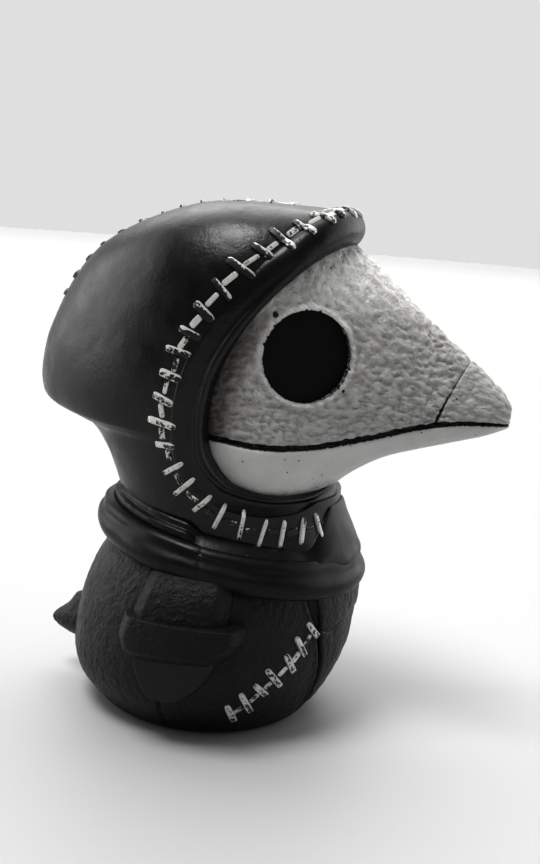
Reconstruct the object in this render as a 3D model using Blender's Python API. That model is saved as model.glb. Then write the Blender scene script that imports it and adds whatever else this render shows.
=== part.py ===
"""Plague doctor figurine: a bird in a stitched hood and a beaked mask, 90 mm tall.

The figurine is cast in resin as separate pieces, which are glued together and painted. Lengths are in
millimetres until at() turns them into metres. "Forward" is the way that the beak points, which is -Y,
"side" is +X, and the origin is the middle of the flat base.
"""

import math

import bmesh
import bpy
from mathutils import Vector
from mathutils.bvhtree import BVHTree

MM = 0.001
GAP = 0.3  # clearance between two castings

NECK_FORWARD = 3.0  # the head, the cape and the shoulders sit this far ahead of the base's middle

# Robe: round level sections of the body, from its base to its shoulders, as (radius, height, forward).
BODY_SECTIONS = (
    (16.6, 0.0, 0.0),
    (18.2, 0.4, 0.0),
    (20.2, 2.4, -0.2),
    (22.3, 5.2, -0.5),
    (23.9, 9.0, -0.2),
    (24.6, 13.6, 0.7),
    (24.6, 18.0, 1.3),
    (24.0, 22.8, 2.0),
    (22.8, 26.8, 2.6),
    (20.8, 30.0, 3.0),
    (18.0, 32.4, 3.0),
)
BODY_STEPS = 48
COAT_EDGE_ANGLE = 15.0  # degrees from the front to each edge of the coat, at COAT_EDGE_HEIGHT
COAT_EDGE_HEIGHT = 4.3
COAT_EDGE_SLANT = 0.9  # degrees that the edges part for each mm above that height
COAT_SEAM_HEIGHT = 20.2
COAT_TOP_HEIGHT = 26.5
PANEL_LIFT = 0.5
PANEL_DEPTH = 1.6

# Cape: a ring on the shoulders that sits higher at the back than at the front.
CAPE_TILT = 0.15
CAPE_PROFILE = ((19.0, 29.0), (19.0, 35.2), (19.7, 35.6), (20.9, 34.6), (21.8, 32.4), (21.4, 29.0))
HEM_RADIUS = 21.3
HEM_HEIGHT = 30.6
HEM_THICKNESS = 5.2
BAND_ANGLE = 96.0  # degrees from the front to each end of the neck band
BAND_PROFILE = ((18.4, 33.0), (18.4, 36.0), (20.0, 36.0), (21.4, 34.8), (22.1, 33.0))

# Arms: each lies flat on the robe, at the middle of the robe's side. Outlines are (around, height).
ARM_ANGLE = 94.0
ARM_RADIUS = 24.4
SLEEVE_OUTLINE = ((-6.2, 31.0), (9.2, 31.0), (9.8, 22.8), (-6.8, 22.8))
CUFF_OUTLINE = ((-8.2, 22.4), (12.8, 22.4), (13.2, 18.4), (8.8, 15.6), (-4.6, 15.2), (-8.0, 17.6))
GLOVE_OUTLINE = ((-4.4, 14.8), (9.6, 14.8), (8.4, 11.6), (4.8, 7.6), (1.6, 7.4), (-2.6, 11.2))
OUTLINE_ROUNDING = 1.4
SLEEVE_LIFT = 2.2
CUFF_LIFT = 3.4
GLOVE_LIFT = 2.0

# Tail: sections as (distance behind the axis, height, half width, half height).
TAIL_SECTIONS = (
    (19.0, 10.0, 6.6, 6.0),
    (22.6, 10.4, 5.4, 5.2),
    (25.4, 10.6, 4.2, 4.5),
    (27.6, 10.2, 3.0, 3.2),
    (29.6, 9.8, 1.7, 1.7),
    (30.7, 9.5, 0.8, 0.9),
    (31.0, 9.4, 0.4, 0.5),
)

# Hood: level sections as (height, forward reach, backward reach, half width, taper to the back).
HOOD_SECTIONS = (
    (90.0, 13.0, 3.0, 3.0, 1.0),
    (89.3, 17.0, 8.0, 8.6, 1.0),
    (87.6, 18.6, 14.0, 12.8, 1.1),
    (84.4, 19.2, 21.4, 16.2, 1.2),
    (79.6, 19.6, 28.2, 18.8, 1.35),
    (73.6, 20.0, 33.0, 20.4, 1.5),
    (66.6, 20.4, 36.4, 21.2, 1.6),
    (59.8, 20.4, 38.2, 21.8, 1.7),
    (55.0, 20.4, 38.4, 21.8, 1.7),
    (52.2, 20.2, 37.2, 21.6, 1.7),
    (51.0, 20.0, 33.4, 21.4, 1.6),
    (49.6, 19.8, 28.2, 21.1, 1.4),
    (46.4, 19.4, 24.6, 20.6, 1.2),
    (42.4, 19.0, 22.0, 20.0, 1.1),
    (37.6, 18.8, 19.8, 19.3, 1.0),
    (32.8, 18.6, 18.6, 18.6, 1.0),
)
HOOD_RING_POINTS = 40

# Rolled edge of the hood, from the brow to the chin, as (side, forward, height, radius, distance from
# the roll's middle to the stitched seam).
RIM_POINTS = (
    (0.0, 15.8, 86.7, 3.3, 0.8),
    (6.8, 14.4, 85.8, 3.2, 1.5),
    (12.2, 11.2, 82.4, 2.8, 3.0),
    (16.2, 6.8, 77.0, 2.5, 4.4),
    (18.9, 2.0, 69.8, 2.3, 4.5),
    (20.0, -1.2, 62.0, 2.2, 4.4),
    (20.2, -2.2, 54.4, 2.2, 4.4),
    (19.7, -1.2, 48.0, 2.2, 4.3),
    (18.2, 2.8, 43.2, 2.2, 4.1),
    (14.6, 9.0, 40.8, 2.2, 3.8),
    (8.2, 14.6, 40.4, 2.2, 3.6),
    (0.0, 17.0, 41.0, 2.2, 3.6),
)
FACE_MIDDLE = (24.0, 62.0)  # forward and height of the line that the face opening surrounds

# Mask: upright sections as (forward, top, bottom, half width, widest height, squareness above, below).
MASK_SECTIONS = (
    (-5.0, 88.5, 34.0, 18.3, 62.0, 3.2, 3.5),
    (2.0, 88.5, 34.0, 18.2, 62.0, 3.2, 3.5),
    (6.0, 88.5, 34.2, 17.9, 62.0, 3.2, 3.4),
    (8.6, 88.4, 34.6, 17.1, 62.0, 3.2, 3.3),
    (14.5, 87.0, 37.0, 13.3, 62.0, 3.0, 3.0),
    (18.3, 84.0, 40.8, 10.8, 62.0, 2.5, 2.5),
    (21.5, 81.9, 44.0, 8.8, 61.6, 2.3, 2.3),
    (26.4, 77.8, 48.0, 6.9, 61.0, 2.2, 2.2),
    (32.0, 72.9, 51.0, 5.4, 60.0, 2.1, 2.1),
    (38.0, 67.6, 53.2, 4.2, 59.2, 2.1, 2.0),
    (43.0, 63.2, 54.7, 3.1, 58.4, 2.0, 2.0),
    (45.6, 60.6, 55.6, 2.2, 57.8, 2.0, 2.0),
    (46.8, 58.8, 56.2, 1.1, 57.5, 2.0, 2.0),
    (47.1, 57.9, 56.8, 0.4, 57.4, 2.0, 2.0),
)
MASK_RING_POINTS = 36
MOUTH_LINE = (
    (-7.0, 52.2),
    (0.0, 51.9),
    (8.0, 51.0),
    (14.5, 50.8),
    (20.5, 51.6),
    (26.5, 53.2),
    (31.0, 54.7),
    (36.0, 56.0),
    (41.0, 56.7),
    (52.0, 56.8),
)
TIP_SEAM = ((41.0, 71.0), (39.3, 66.8), (37.2, 62.0), (35.3, 57.0), (34.4, 53.0))

# Eyes: round lenses sunk into sockets that look sideways and a little forward.
EYE_CENTRE = (13.3, 14.5, 66.1)
EYE_YAW = 36.0
EYE_RADIUS = 7.6
EYE_THICKNESS = 1.4
EYE_SUNK = 0.9

DOWEL_RADIUS = 6.0
DOWEL_BOTTOM = 22.0
DOWEL_TOP = 40.0

# Stitching
BAR_WIDTH = 1.1
BAR_HEIGHT = 0.6
THREAD_RADIUS = 0.35
RIM_BAR_LENGTH = 4.4
RIM_BARS = 44
CREST_SEAM = (
    (9.0, 90.2),
    (2.0, 90.3),
    (-6.0, 89.6),
    (-14.0, 87.9),
    (-21.4, 84.7),
    (-28.2, 79.9),
    (-32.9, 73.9),
    (-35.2, 69.6),
)
CREST_BAR_LENGTH = 3.6
CREST_BARS = 14
SEAM_LIFT = 0.5
TEAR_START = (32.0, 20.6)  # angle from the front and height
TEAR_END = (61.0, 4.8)
TEAR_BAR_LENGTH = 4.0
TEAR_BARS = 6
TEAR_LIFT = 0.8

BLACK_PAINT = ((0.012, 0.012, 0.014, 1.0), 0.38, 0.0)
ROBE_PAINT = ((0.014, 0.014, 0.018, 1.0), 0.45, 0.0)
GLOVE_PAINT = ((0.016, 0.016, 0.02, 1.0), 0.35, 0.0)
MASK_PAINT = ((0.60, 0.59, 0.57, 1.0), 0.6, 0.0)
JAW_PAINT = ((0.66, 0.65, 0.63, 1.0), 0.5, 0.0)
TIP_PAINT = ((0.50, 0.49, 0.47, 1.0), 0.6, 0.0)
EYE_PAINT = ((0.006, 0.006, 0.007, 1.0), 0.5, 0.0)
SILVER_PAINT = ((0.62, 0.62, 0.63, 1.0), 0.35, 0.9)
WOOD = ((0.55, 0.42, 0.27, 1.0), 0.7, 0.0)


def clear_scene():
    for obj in list(bpy.data.objects):
        bpy.data.objects.remove(obj, do_unlink=True)


def new_collection(name):
    collection = bpy.data.collections.new(name)
    bpy.context.scene.collection.children.link(collection)
    return collection


def new_material(name, paint):
    colour, roughness, metallic = paint
    material = bpy.data.materials.new(name)
    material.use_nodes = True
    shader = material.node_tree.nodes["Principled BSDF"]
    shader.inputs["Base Color"].default_value = colour
    shader.inputs["Roughness"].default_value = roughness
    shader.inputs["Metallic"].default_value = metallic
    return material


def at(side, forward, height):
    """The place in metres of a point given in millimetres."""
    return Vector((side, -forward, height)) * MM


def at_neck(side, forward, height):
    """The place in metres of a point whose distance forward is measured from the neck's middle."""
    return at(side, forward + NECK_FORWARD, height)


def smooth_through(rows, steps, closed=False):
    """Rows on a centripetal Catmull-Rom curve through the given rows, steps of them for each stretch."""
    if closed:
        ring = [rows[-1], *rows, rows[0], rows[1]]
    else:
        before = [2 * a - b for a, b in zip(rows[0], rows[1])]
        after = [2 * a - b for a, b in zip(rows[-1], rows[-2])]
        ring = [before, *rows, after]
    result = []
    for p0, p1, p2, p3 in zip(ring, ring[1:], ring[2:], ring[3:]):
        t01, t12, t23 = (math.sqrt(math.dist(a, b)) for a, b in ((p0, p1), (p1, p2), (p2, p3)))
        for step in range(steps):
            u = step / steps
            row = []
            for a, b, c, d in zip(p0, p1, p2, p3):
                leave = (c - b) + t12 * ((b - a) / t01 - (c - a) / (t01 + t12))
                arrive = (c - b) + t12 * ((d - c) / t23 - (d - b) / (t12 + t23))
                cubic = 2 * b - 2 * c + leave + arrive
                square = 3 * c - 3 * b - 2 * leave - arrive
                row.append(b + u * (leave + u * (square + u * cubic)))
            result.append(tuple(row))
    if not closed:
        result.append(tuple(rows[-1]))
    return result


def add_object(name, mesh, collection, paint=None):
    obj = bpy.data.objects.new(name, mesh)
    collection.objects.link(obj)
    if paint is not None:
        mesh.materials.append(new_material(name + "_paint", paint))
    return obj


def loft(name, rings, collection, paint=None):
    """A closed solid through rings that hold the same number of points each."""
    bm = bmesh.new()
    rows = [[bm.verts.new(point) for point in ring] for ring in rings]
    count = len(rings[0])
    for row, following in zip(rows, rows[1:]):
        for i in range(count):
            j = (i + 1) % count
            bm.faces.new((row[i], row[j], following[j], following[i]))
    bm.faces.new(rows[0])
    bm.faces.new(rows[-1])
    bmesh.ops.recalc_face_normals(bm, faces=bm.faces)
    mesh = bpy.data.meshes.new(name)
    bm.to_mesh(mesh)
    bm.free()
    mesh.shade_smooth()
    mesh.set_sharp_from_angle(angle=math.radians(40))
    return add_object(name, mesh, collection, paint)


def prism(name, outline, cutters):
    """A cutter with a (forward, height) outline, long enough to pass through the whole figurine."""
    reach = 40.0
    rings = [[at_neck(side, forward, height) for forward, height in outline] for side in (-reach, reach)]
    return hide_cutter(loft(name, rings, cutters))


def hide_cutter(obj):
    obj.hide_render = True
    obj.display_type = "WIRE"
    return obj


def cut(obj, cutter, operation="DIFFERENCE"):
    modifier = obj.modifiers.new(operation.title() + "_" + cutter.name, "BOOLEAN")
    modifier.operation = operation
    modifier.object = cutter


def cylinder(name, radius, depth, middle, collection, paint=None, direction=None, sides=32):
    """A round bar about the vertical, or about the given direction."""
    bpy.ops.mesh.primitive_cylinder_add(
        vertices=sides, radius=radius * MM, depth=depth * MM, location=middle
    )
    obj = bpy.context.object
    obj.name = name
    obj.data.name = name
    if direction is not None:
        obj.rotation_euler = direction.to_track_quat("Z", "Y").to_euler()
    for owner in list(obj.users_collection):
        owner.objects.unlink(obj)
    collection.objects.link(obj)
    if paint is not None:
        obj.data.materials.append(new_material(name + "_paint", paint))
    return obj


def tube(name, rows, closed, sides_resolution, collection, paint=None):
    """A solid bar of changing radius along (side, forward, height, radius) rows, as a mesh."""
    curve = bpy.data.curves.new(name + "_line", "CURVE")
    curve.dimensions = "3D"
    curve.bevel_depth = MM
    curve.bevel_resolution = sides_resolution
    curve.use_fill_caps = True
    spline = curve.splines.new("POLY")
    spline.points.add(len(rows) - 1)
    spline.use_cyclic_u = closed
    for point, (side, forward, height, radius) in zip(spline.points, rows):
        point.co = (*at_neck(side, forward, height), 1.0)
        point.radius = radius
    line = add_object(name + "_line", curve, collection)
    graph = bpy.context.evaluated_depsgraph_get()
    mesh = bpy.data.meshes.new_from_object(line.evaluated_get(graph))
    mesh.name = name
    bpy.data.objects.remove(line, do_unlink=True)
    bm = bmesh.new()
    bm.from_mesh(mesh)
    bmesh.ops.remove_doubles(bm, verts=bm.verts, dist=0.00001)
    bmesh.ops.recalc_face_normals(bm, faces=bm.faces)
    bm.to_mesh(mesh)
    bm.free()
    mesh.shade_smooth()
    return add_object(name, mesh, collection, paint)


BODY_CURVE = smooth_through(BODY_SECTIONS, 2)


def body_section(height):
    """The radius of the robe at a height, and how far forward its middle is."""
    for (r0, z0, f0), (r1, z1, f1) in zip(BODY_CURVE, BODY_CURVE[1:]):
        if height <= z1:
            share = (height - z0) / (z1 - z0)
            return r0 + (r1 - r0) * share, f0 + (f1 - f0) * share
    return BODY_CURVE[-1][0], BODY_CURVE[-1][2]


def on_body(angle, height, lift=0.0):
    """A point over the robe: degrees from the front towards the figure's right, and a lift in mm."""
    turn = math.radians(angle)
    radius, forward = body_section(height)
    radius += lift
    return at(-radius * math.sin(turn), forward + radius * math.cos(turn), height)


def make_body(name, grow, collection, paint=None):
    """The robe's solid, or its envelope grown by a clearance."""
    rings = []
    for radius, height, forward in BODY_CURVE:
        rings.append(circle(radius + grow, height, forward))
    rings[-1] = circle(BODY_CURVE[-1][0] + grow, BODY_CURVE[-1][1] + grow, BODY_CURVE[-1][2])
    return loft(name, rings, collection, paint)


def circle(radius, height, forward):
    ring = []
    for i in range(BODY_STEPS):
        turn = 2 * math.pi * i / BODY_STEPS
        ring.append(at(radius * math.sin(turn), forward + radius * math.cos(turn), height))
    return ring


def hood_ring(section, grow=0.0):
    """One level section of the hood: round in front, drawn to a point behind by its taper."""
    height, front, back, half_width, taper = section
    ring = []
    for i in range(HOOD_RING_POINTS):
        turn = 2 * math.pi * i / HOOD_RING_POINTS
        along, across = math.cos(turn), math.sin(turn)
        reach = front + grow if along > 0 else back + grow
        power = 1.0 if along > 0 else taper
        side = (half_width + grow) * math.copysign(abs(across) ** power, across)
        ring.append(at_neck(side, reach * along, height))
    return ring


def mask_ring(section):
    """One upright section of the mask: two half superellipses that meet at its widest height."""
    forward, top, bottom, half_width, widest, above, below = section
    ring = []
    for i in range(MASK_RING_POINTS):
        turn = 2 * math.pi * i / MASK_RING_POINTS
        across, up = math.cos(turn), math.sin(turn)
        power = 2 / (above if up >= 0 else below)
        side = half_width * math.copysign(abs(across) ** power, across)
        reach = top - widest if up >= 0 else widest - bottom
        ring.append(at_neck(side, forward, widest + reach * math.copysign(abs(up) ** power, up)))
    return ring


def rim_rows():
    """The rolled edge all the way round: down the figure's right side and up its left."""
    right = [(-side, *rest) for side, *rest in RIM_POINTS]
    left = list(RIM_POINTS[-2:0:-1])
    return smooth_through(right + left, 3, closed=True)


def face_edge(inset):
    """The face opening seen from the side, from brow to chin, moved in towards the face's middle."""
    rows = smooth_through([(forward, height) for _, forward, height, *_ in RIM_POINTS], 2)
    middle = Vector(FACE_MIDDLE)
    edge = []
    for row in rows:
        point = Vector(row)
        edge.append(tuple(point + (middle - point).normalized() * inset))
    return edge


def make_robe(parts, cutters):
    body = make_body("robe_body", 0.0, parts, ROBE_PAINT)
    envelope = hide_cutter(make_body("robe_envelope", GAP, cutters))
    make_panel("robe_belly_panel", COAT_EDGE_HEIGHT, COAT_SEAM_HEIGHT - GAP, body, parts, cutters)
    chest_low = COAT_SEAM_HEIGHT + GAP
    chest = make_panel("robe_chest_panel", chest_low, COAT_TOP_HEIGHT, body, parts, cutters)
    return body, chest, envelope


def coat_edge_angle(height):
    """Degrees from the front to the coat's edge at a height: the two edges part upwards."""
    return COAT_EDGE_ANGLE + COAT_EDGE_SLANT * (height - COAT_EDGE_HEIGHT)


def sector_rings(heights, inner, outer, margin=0.0):
    """Rings for a plate that follows the robe between the coat's edges, at lifts inner and outer."""
    steps = 14
    rings = []
    for i in range(steps + 1):
        share = 2 * i / steps - 1
        spots = [((coat_edge_angle(height) + margin) * share, height) for height in heights]
        outside = [on_body(angle, height, outer) for angle, height in spots]
        inside = [on_body(angle, height, inner) for angle, height in reversed(spots)]
        rings.append(outside + inside)
    return rings


def make_panel(name, low, high, body, parts, cutters):
    """A plate of the coat's front, let into the robe between the coat's two edges."""
    count = 6
    heights = [low + (high - low) * i / count for i in range(count + 1)]
    panel = loft(name, sector_rings(heights, -PANEL_DEPTH, PANEL_LIFT), parts, ROBE_PAINT)
    margin = math.degrees(GAP / ARM_RADIUS)
    heights[0] -= GAP
    heights[-1] += GAP
    rings = sector_rings(heights, -PANEL_DEPTH - GAP, PANEL_LIFT + 2.0, margin)
    cut(body, hide_cutter(loft(name + "_recess", rings, cutters)))
    return panel


def tilted(obj):
    """Leans a ring on the shoulders: the higher, the further back."""
    for vertex in obj.data.vertices:
        vertex.co.z += CAPE_TILT * (vertex.co.y + NECK_FORWARD * MM)


def ring_of(name, profile, collection, paint, steps=BODY_STEPS):
    """A closed (radius, height) profile swept once around the axis, then leant."""
    rings = []
    for i in range(steps):
        turn = 2 * math.pi * i / steps
        rings.append([at_neck(r * math.sin(turn), r * math.cos(turn), z) for r, z in profile])
    bm = bmesh.new()
    rows = [[bm.verts.new(point) for point in ring] for ring in rings]
    for i, row in enumerate(rows):
        following = rows[(i + 1) % steps]
        for j in range(len(profile)):
            k = (j + 1) % len(profile)
            bm.faces.new((row[j], row[k], following[k], following[j]))
    bmesh.ops.recalc_face_normals(bm, faces=bm.faces)
    mesh = bpy.data.meshes.new(name)
    bm.to_mesh(mesh)
    bm.free()
    mesh.shade_smooth()
    obj = add_object(name, mesh, collection, paint)
    tilted(obj)
    return obj


def circle_profile(radius, height, thickness, sides=12):
    return [
        (
            radius + thickness / 2 * math.cos(2 * math.pi * i / sides),
            height + thickness / 2 * math.sin(2 * math.pi * i / sides),
        )
        for i in range(sides)
    ]


def make_cape(envelope, hood_envelope, parts, cutters):
    hem = ring_of(
        "capelet_hem", circle_profile(HEM_RADIUS, HEM_HEIGHT, HEM_THICKNESS), parts, BLACK_PAINT
    )
    hem_cutter = hide_cutter(
        ring_of(
            "hem_envelope",
            circle_profile(HEM_RADIUS, HEM_HEIGHT, HEM_THICKNESS + 2 * GAP),
            cutters,
            None,
        )
    )
    cut(hem, envelope)
    cut(hem, hood_envelope)
    cape = ring_of("capelet", CAPE_PROFILE, parts, BLACK_PAINT)
    band = make_neck_band("neck_band", 0.0, parts, BLACK_PAINT)
    band_cutter = hide_cutter(make_neck_band("neck_band_envelope", GAP, cutters, None))
    for cutter in (envelope, hood_envelope, hem_cutter, band_cutter):
        cut(cape, cutter)
    for cutter in (envelope, hood_envelope, hem_cutter):
        cut(band, cutter)
    return hem_cutter


def make_neck_band(name, grow, collection, paint):
    """The bib around the front of the neck, from one shoulder to the other."""
    steps = 20
    rings = []
    middle = Vector((20.3, 34.4))
    profile = []
    for row in BAND_PROFILE:
        point = Vector(row)
        profile.append(point + (point - middle).normalized() * grow)
    angle = BAND_ANGLE + math.degrees(grow / HEM_RADIUS)
    for i in range(steps + 1):
        turn = math.radians(angle * (2 * i / steps - 1))
        rings.append([at_neck(r * math.sin(turn), r * math.cos(turn), z) for r, z in profile])
    obj = loft(name, rings, collection, paint)
    tilted(obj)
    return obj


def rounded_outline(corners):
    """A closed outline with rounded corners and points no further apart than its rounding."""
    count = len(corners)
    points = []
    for i, corner in enumerate(corners):
        corner = Vector(corner)
        before, after = Vector(corners[i - 1]), Vector(corners[(i + 1) % count])
        start = corner + (before - corner).normalized() * OUTLINE_ROUNDING
        end = corner + (after - corner).normalized() * OUTLINE_ROUNDING
        points += [start, (start + 2 * corner + end) / 4, end]
        following = after + (corner - after).normalized() * OUTLINE_ROUNDING
        pieces = max(1, math.ceil((following - end).length / (2 * OUTLINE_ROUNDING)))
        points += [end.lerp(following, k / pieces) for k in range(1, pieces)]
    return points


def pillow(name, outline, lift, mirror, parts, paint):
    """A low relief on the robe's side: rounded over at its edge, its back following the robe."""
    corners = rounded_outline(outline)
    middle = sum(corners, Vector((0.0, 0.0))) / len(corners)
    shape = ((0.1, GAP), (0.6, GAP), (1.0, GAP), (1.0, 0.6 * lift), (0.96, 0.88 * lift), (0.88, lift),
             (0.5, 1.03 * lift), (0.1, 1.04 * lift))
    rings = []
    for scale, height_over in shape:
        ring = []
        for corner in corners:
            around, height = middle + (corner - middle) * scale
            angle = ARM_ANGLE - math.degrees(around / ARM_RADIUS)
            ring.append(on_body(angle * mirror, height, height_over))
        rings.append(ring)
    return loft(name, rings, parts, paint)


def make_arms(hem_cutter, parts):
    for side_name, mirror in (("right", 1), ("left", -1)):
        sleeve = pillow("sleeve_" + side_name, SLEEVE_OUTLINE, SLEEVE_LIFT, mirror, parts, ROBE_PAINT)
        cut(sleeve, hem_cutter)
        pillow("cuff_" + side_name, CUFF_OUTLINE, CUFF_LIFT, mirror, parts, ROBE_PAINT)
        pillow("glove_" + side_name, GLOVE_OUTLINE, GLOVE_LIFT, mirror, parts, GLOVE_PAINT)


def make_tail(envelope, parts):
    points = 16
    rings = []
    for behind, height, half_width, half_height in smooth_through(TAIL_SECTIONS, 2):
        ring = []
        for i in range(points):
            turn = 2 * math.pi * i / points
            rise = half_height * math.sin(turn)
            ring.append(at(half_width * math.cos(turn), -behind, height + rise))
        rings.append(ring)
    cut(loft("tail", rings, parts, ROBE_PAINT), envelope)


def make_hood(parts, cutters):
    sections = smooth_through(HOOD_SECTIONS, 2)
    hood = loft("hood", [hood_ring(section) for section in sections], parts, BLACK_PAINT)
    low = HOOD_SECTIONS[-1][0]
    collar = [section for section in sections if section[0] < HOOD_SECTIONS[-4][0]]
    collar.append((low - GAP, *HOOD_SECTIONS[-1][1:]))
    envelope = loft("hood_envelope", [hood_ring(section, GAP) for section in collar], cutters)
    hide_cutter(envelope)
    return hood, envelope


def make_rim(hood, parts, cutters):
    rows = rim_rows()
    tube("hood_rim", [row[:4] for row in rows], True, 2, parts, BLACK_PAINT)
    grown = [(*row[:3], row[3] + GAP) for row in rows]
    groove = hide_cutter(tube("rim_groove", grown, True, 2, cutters))
    edge = face_edge(0.0)
    top, chin = edge[0], edge[-1]
    opening = [*edge, (70.0, chin[1]), (70.0, 100.0), (top[0], 100.0)]
    cut(hood, prism("face_opening", opening, cutters))
    cut(hood, groove)
    return groove


def make_mask(groove, parts, cutters):
    edge = face_edge(GAP)
    top, chin = edge[0], edge[-1]
    behind = [*edge, (chin[0], 0.0), (-60.0, 0.0), (-60.0, 100.0), (top[0], 100.0)]
    behind_face = prism("behind_face", behind, cutters)

    mouth = smooth_through(MOUTH_LINE, 2)
    upper_lip = [(forward, height + GAP / 2) for forward, height in mouth]
    lower_lip = [(forward, height - GAP / 2) for forward, height in mouth]
    below_mouth = prism("below_mouth", [*upper_lip, (70.0, 0.0), (-20.0, 0.0)], cutters)
    above_mouth = prism("above_mouth", [*lower_lip, (70.0, 100.0), (-20.0, 100.0)], cutters)
    tip_side = [(forward + GAP / 2, height) for forward, height in TIP_SEAM]
    face_side = [(forward - GAP / 2, height) for forward, height in TIP_SEAM]
    seam_top, seam_foot = tip_side[0][0], tip_side[-1][0]
    behind = [*tip_side, (seam_foot, 0.0), (-20.0, 0.0), (-20.0, 120.0), (seam_top, 120.0)]
    behind_seam = prism("behind_tip_seam", behind, cutters)
    ahead_of_seam = prism("ahead_of_tip_seam", [*face_side, (70.0, 40.0), (70.0, 100.0)], cutters)

    rings = [mask_ring(section) for section in smooth_through(MASK_SECTIONS, 2)]
    upper = loft("beak_upper", rings, parts, MASK_PAINT)
    for cutter in (behind_face, below_mouth, ahead_of_seam, groove):
        cut(upper, cutter)
    lower = loft("beak_lower", rings, parts, JAW_PAINT)
    for cutter in (behind_face, above_mouth, groove):
        cut(lower, cutter)
    tip = loft("beak_tip", rings, parts, TIP_PAINT)
    for cutter in (behind_seam, below_mouth):
        cut(tip, cutter)
    make_eyes(upper, parts, cutters)


def make_eyes(upper, parts, cutters):
    side, forward, height = EYE_CENTRE
    yaw = math.radians(EYE_YAW)
    reach = 6.0
    for side_name, mirror in (("right", -1), ("left", 1)):
        outward = Vector((mirror * math.cos(yaw), -math.sin(yaw), 0.0))
        centre = at_neck(mirror * side, forward, height)
        lens_middle = centre - outward * (EYE_SUNK + EYE_THICKNESS / 2) * MM
        cylinder("eye_" + side_name, EYE_RADIUS, EYE_THICKNESS, lens_middle, parts, EYE_PAINT, outward)
        floor = EYE_SUNK + EYE_THICKNESS + GAP
        socket_middle = centre + outward * (reach - floor) / 2 * MM
        socket = cylinder(
            "socket_" + side_name,
            EYE_RADIUS + GAP,
            reach + floor,
            socket_middle,
            cutters,
            direction=outward,
        )
        cut(upper, hide_cutter(socket))


def make_dowel(body, hood, parts, cutters):
    """The peg that carries the head on the body, in a hole in each."""
    middle = at_neck(0.0, 0.0, (DOWEL_BOTTOM + DOWEL_TOP) / 2)
    length = DOWEL_TOP - DOWEL_BOTTOM
    cylinder("neck_dowel", DOWEL_RADIUS, length, middle, parts, WOOD, sides=24)
    hole = cylinder("dowel_hole", DOWEL_RADIUS + GAP, length + 2 * GAP, middle, cutters, sides=24)
    hide_cutter(hole)
    cut(body, hole)
    cut(hood, hole)


def surface_of(obj):
    """The uncut surface of a lofted object, to lay stitches on."""
    bm = bmesh.new()
    bm.from_mesh(obj.data)
    tree = BVHTree.FromBMesh(bm)
    bm.free()
    return tree


def even_spots(seam, count, closed):
    """Spots at even distances along a seam, each a (point, normal, across)."""
    ends = list(zip(seam, seam[1:] + seam[:1])) if closed else list(zip(seam, seam[1:]))
    lengths = [(b[0] - a[0]).length for a, b in ends]
    step = sum(lengths) / count
    target = step / 2
    walked = 0.0
    spots = []
    for (a, b), length in zip(ends, lengths):
        while len(spots) < count and target <= walked + length:
            share = (target - walked) / length
            point, normal, across = (u.lerp(v, share) for u, v in zip(a, b))
            spots.append((point, normal.normalized(), across.normalized()))
            target += step
        walked += length
    return spots


def stitching(name, seam, bars, bar_length, parts, cutters, closed=False):
    """Thread along a seam, crossed by bars. A seam is a list of (point, normal, across) in metres."""
    rows = []
    for point, _, _ in seam:
        x, y, z = point / MM
        rows.append((x, -y - NECK_FORWARD, z, THREAD_RADIUS))
    thread = tube(name, rows, closed, 0, parts, SILVER_PAINT)
    bm = bmesh.new()
    for point, normal, across in even_spots(seam, bars, closed):
        along = across.cross(normal).normalized()
        sides = (across * bar_length / 2, along * BAR_WIDTH / 2, normal * BAR_HEIGHT / 2)
        for vertex in bmesh.ops.create_cube(bm, size=2.0)["verts"]:
            a, b, c = vertex.co
            vertex.co = point + (sides[0] * a + sides[1] * b + sides[2] * c) * MM
    bmesh.ops.recalc_face_normals(bm, faces=bm.faces)
    mesh = bpy.data.meshes.new(name + "_bars")
    bm.to_mesh(mesh)
    bm.free()
    cut(thread, hide_cutter(add_object(name + "_bars", mesh, cutters)), "UNION")
    return thread


def clear_of_roll(point, normal, rows):
    """A seam point moved out along its normal until its thread clears the rolled edge."""
    for row in rows:
        reach = (row[3] + GAP + BAR_HEIGHT / 2) * MM
        offset = point - at_neck(*row[:3])
        if offset.length < reach:
            out = offset.dot(normal)
            point = point + normal * (math.sqrt(out**2 - offset.length_squared + reach**2) - out)
    return point


def make_rim_stitching(surface, groove, parts, cutters):
    """The seam beside the rolled edge, laid on the hood at each point's own distance from the roll."""
    rows = rim_rows()
    middle = at_neck(0.0, *FACE_MIDDLE)
    seam = []
    for i, row in enumerate(rows):
        here = at_neck(*row[:3])
        along = (at_neck(*rows[(i + 1) % len(rows)][:3]) - at_neck(*rows[i - 1][:3])).normalized()
        _, normal, _, _ = surface.find_nearest(here)
        away = normal.cross(along).normalized()
        from_middle = here - middle
        if away.dot(Vector((0.0, from_middle.y, from_middle.z))) < 0:
            away.negate()
        point, normal, _, _ = surface.find_nearest(here + (away * row[4] + normal * row[3]) * MM)
        point = clear_of_roll(point + normal * (SEAM_LIFT + BAR_HEIGHT / 2) * MM, normal, rows)
        seam.append((point, normal, away))
    stitches = stitching("rim_stitching", seam, RIM_BARS, RIM_BAR_LENGTH, parts, cutters, closed=True)
    cut(stitches, groove)


def make_crest_stitching(surface, parts, cutters):
    seam = []
    for forward, height in smooth_through(CREST_SEAM, 2):
        point, normal, _, _ = surface.find_nearest(at_neck(0.0, forward, height))
        normal.x = 0.0
        normal.normalize()
        lifted = at(0.0, -point.y / MM, point.z / MM) + normal * (SEAM_LIFT + BAR_HEIGHT / 2) * MM
        seam.append((lifted, normal, Vector((1.0, 0.0, 0.0))))
    stitching("crest_stitching", seam, CREST_BARS, CREST_BAR_LENGTH, parts, cutters)


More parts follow.
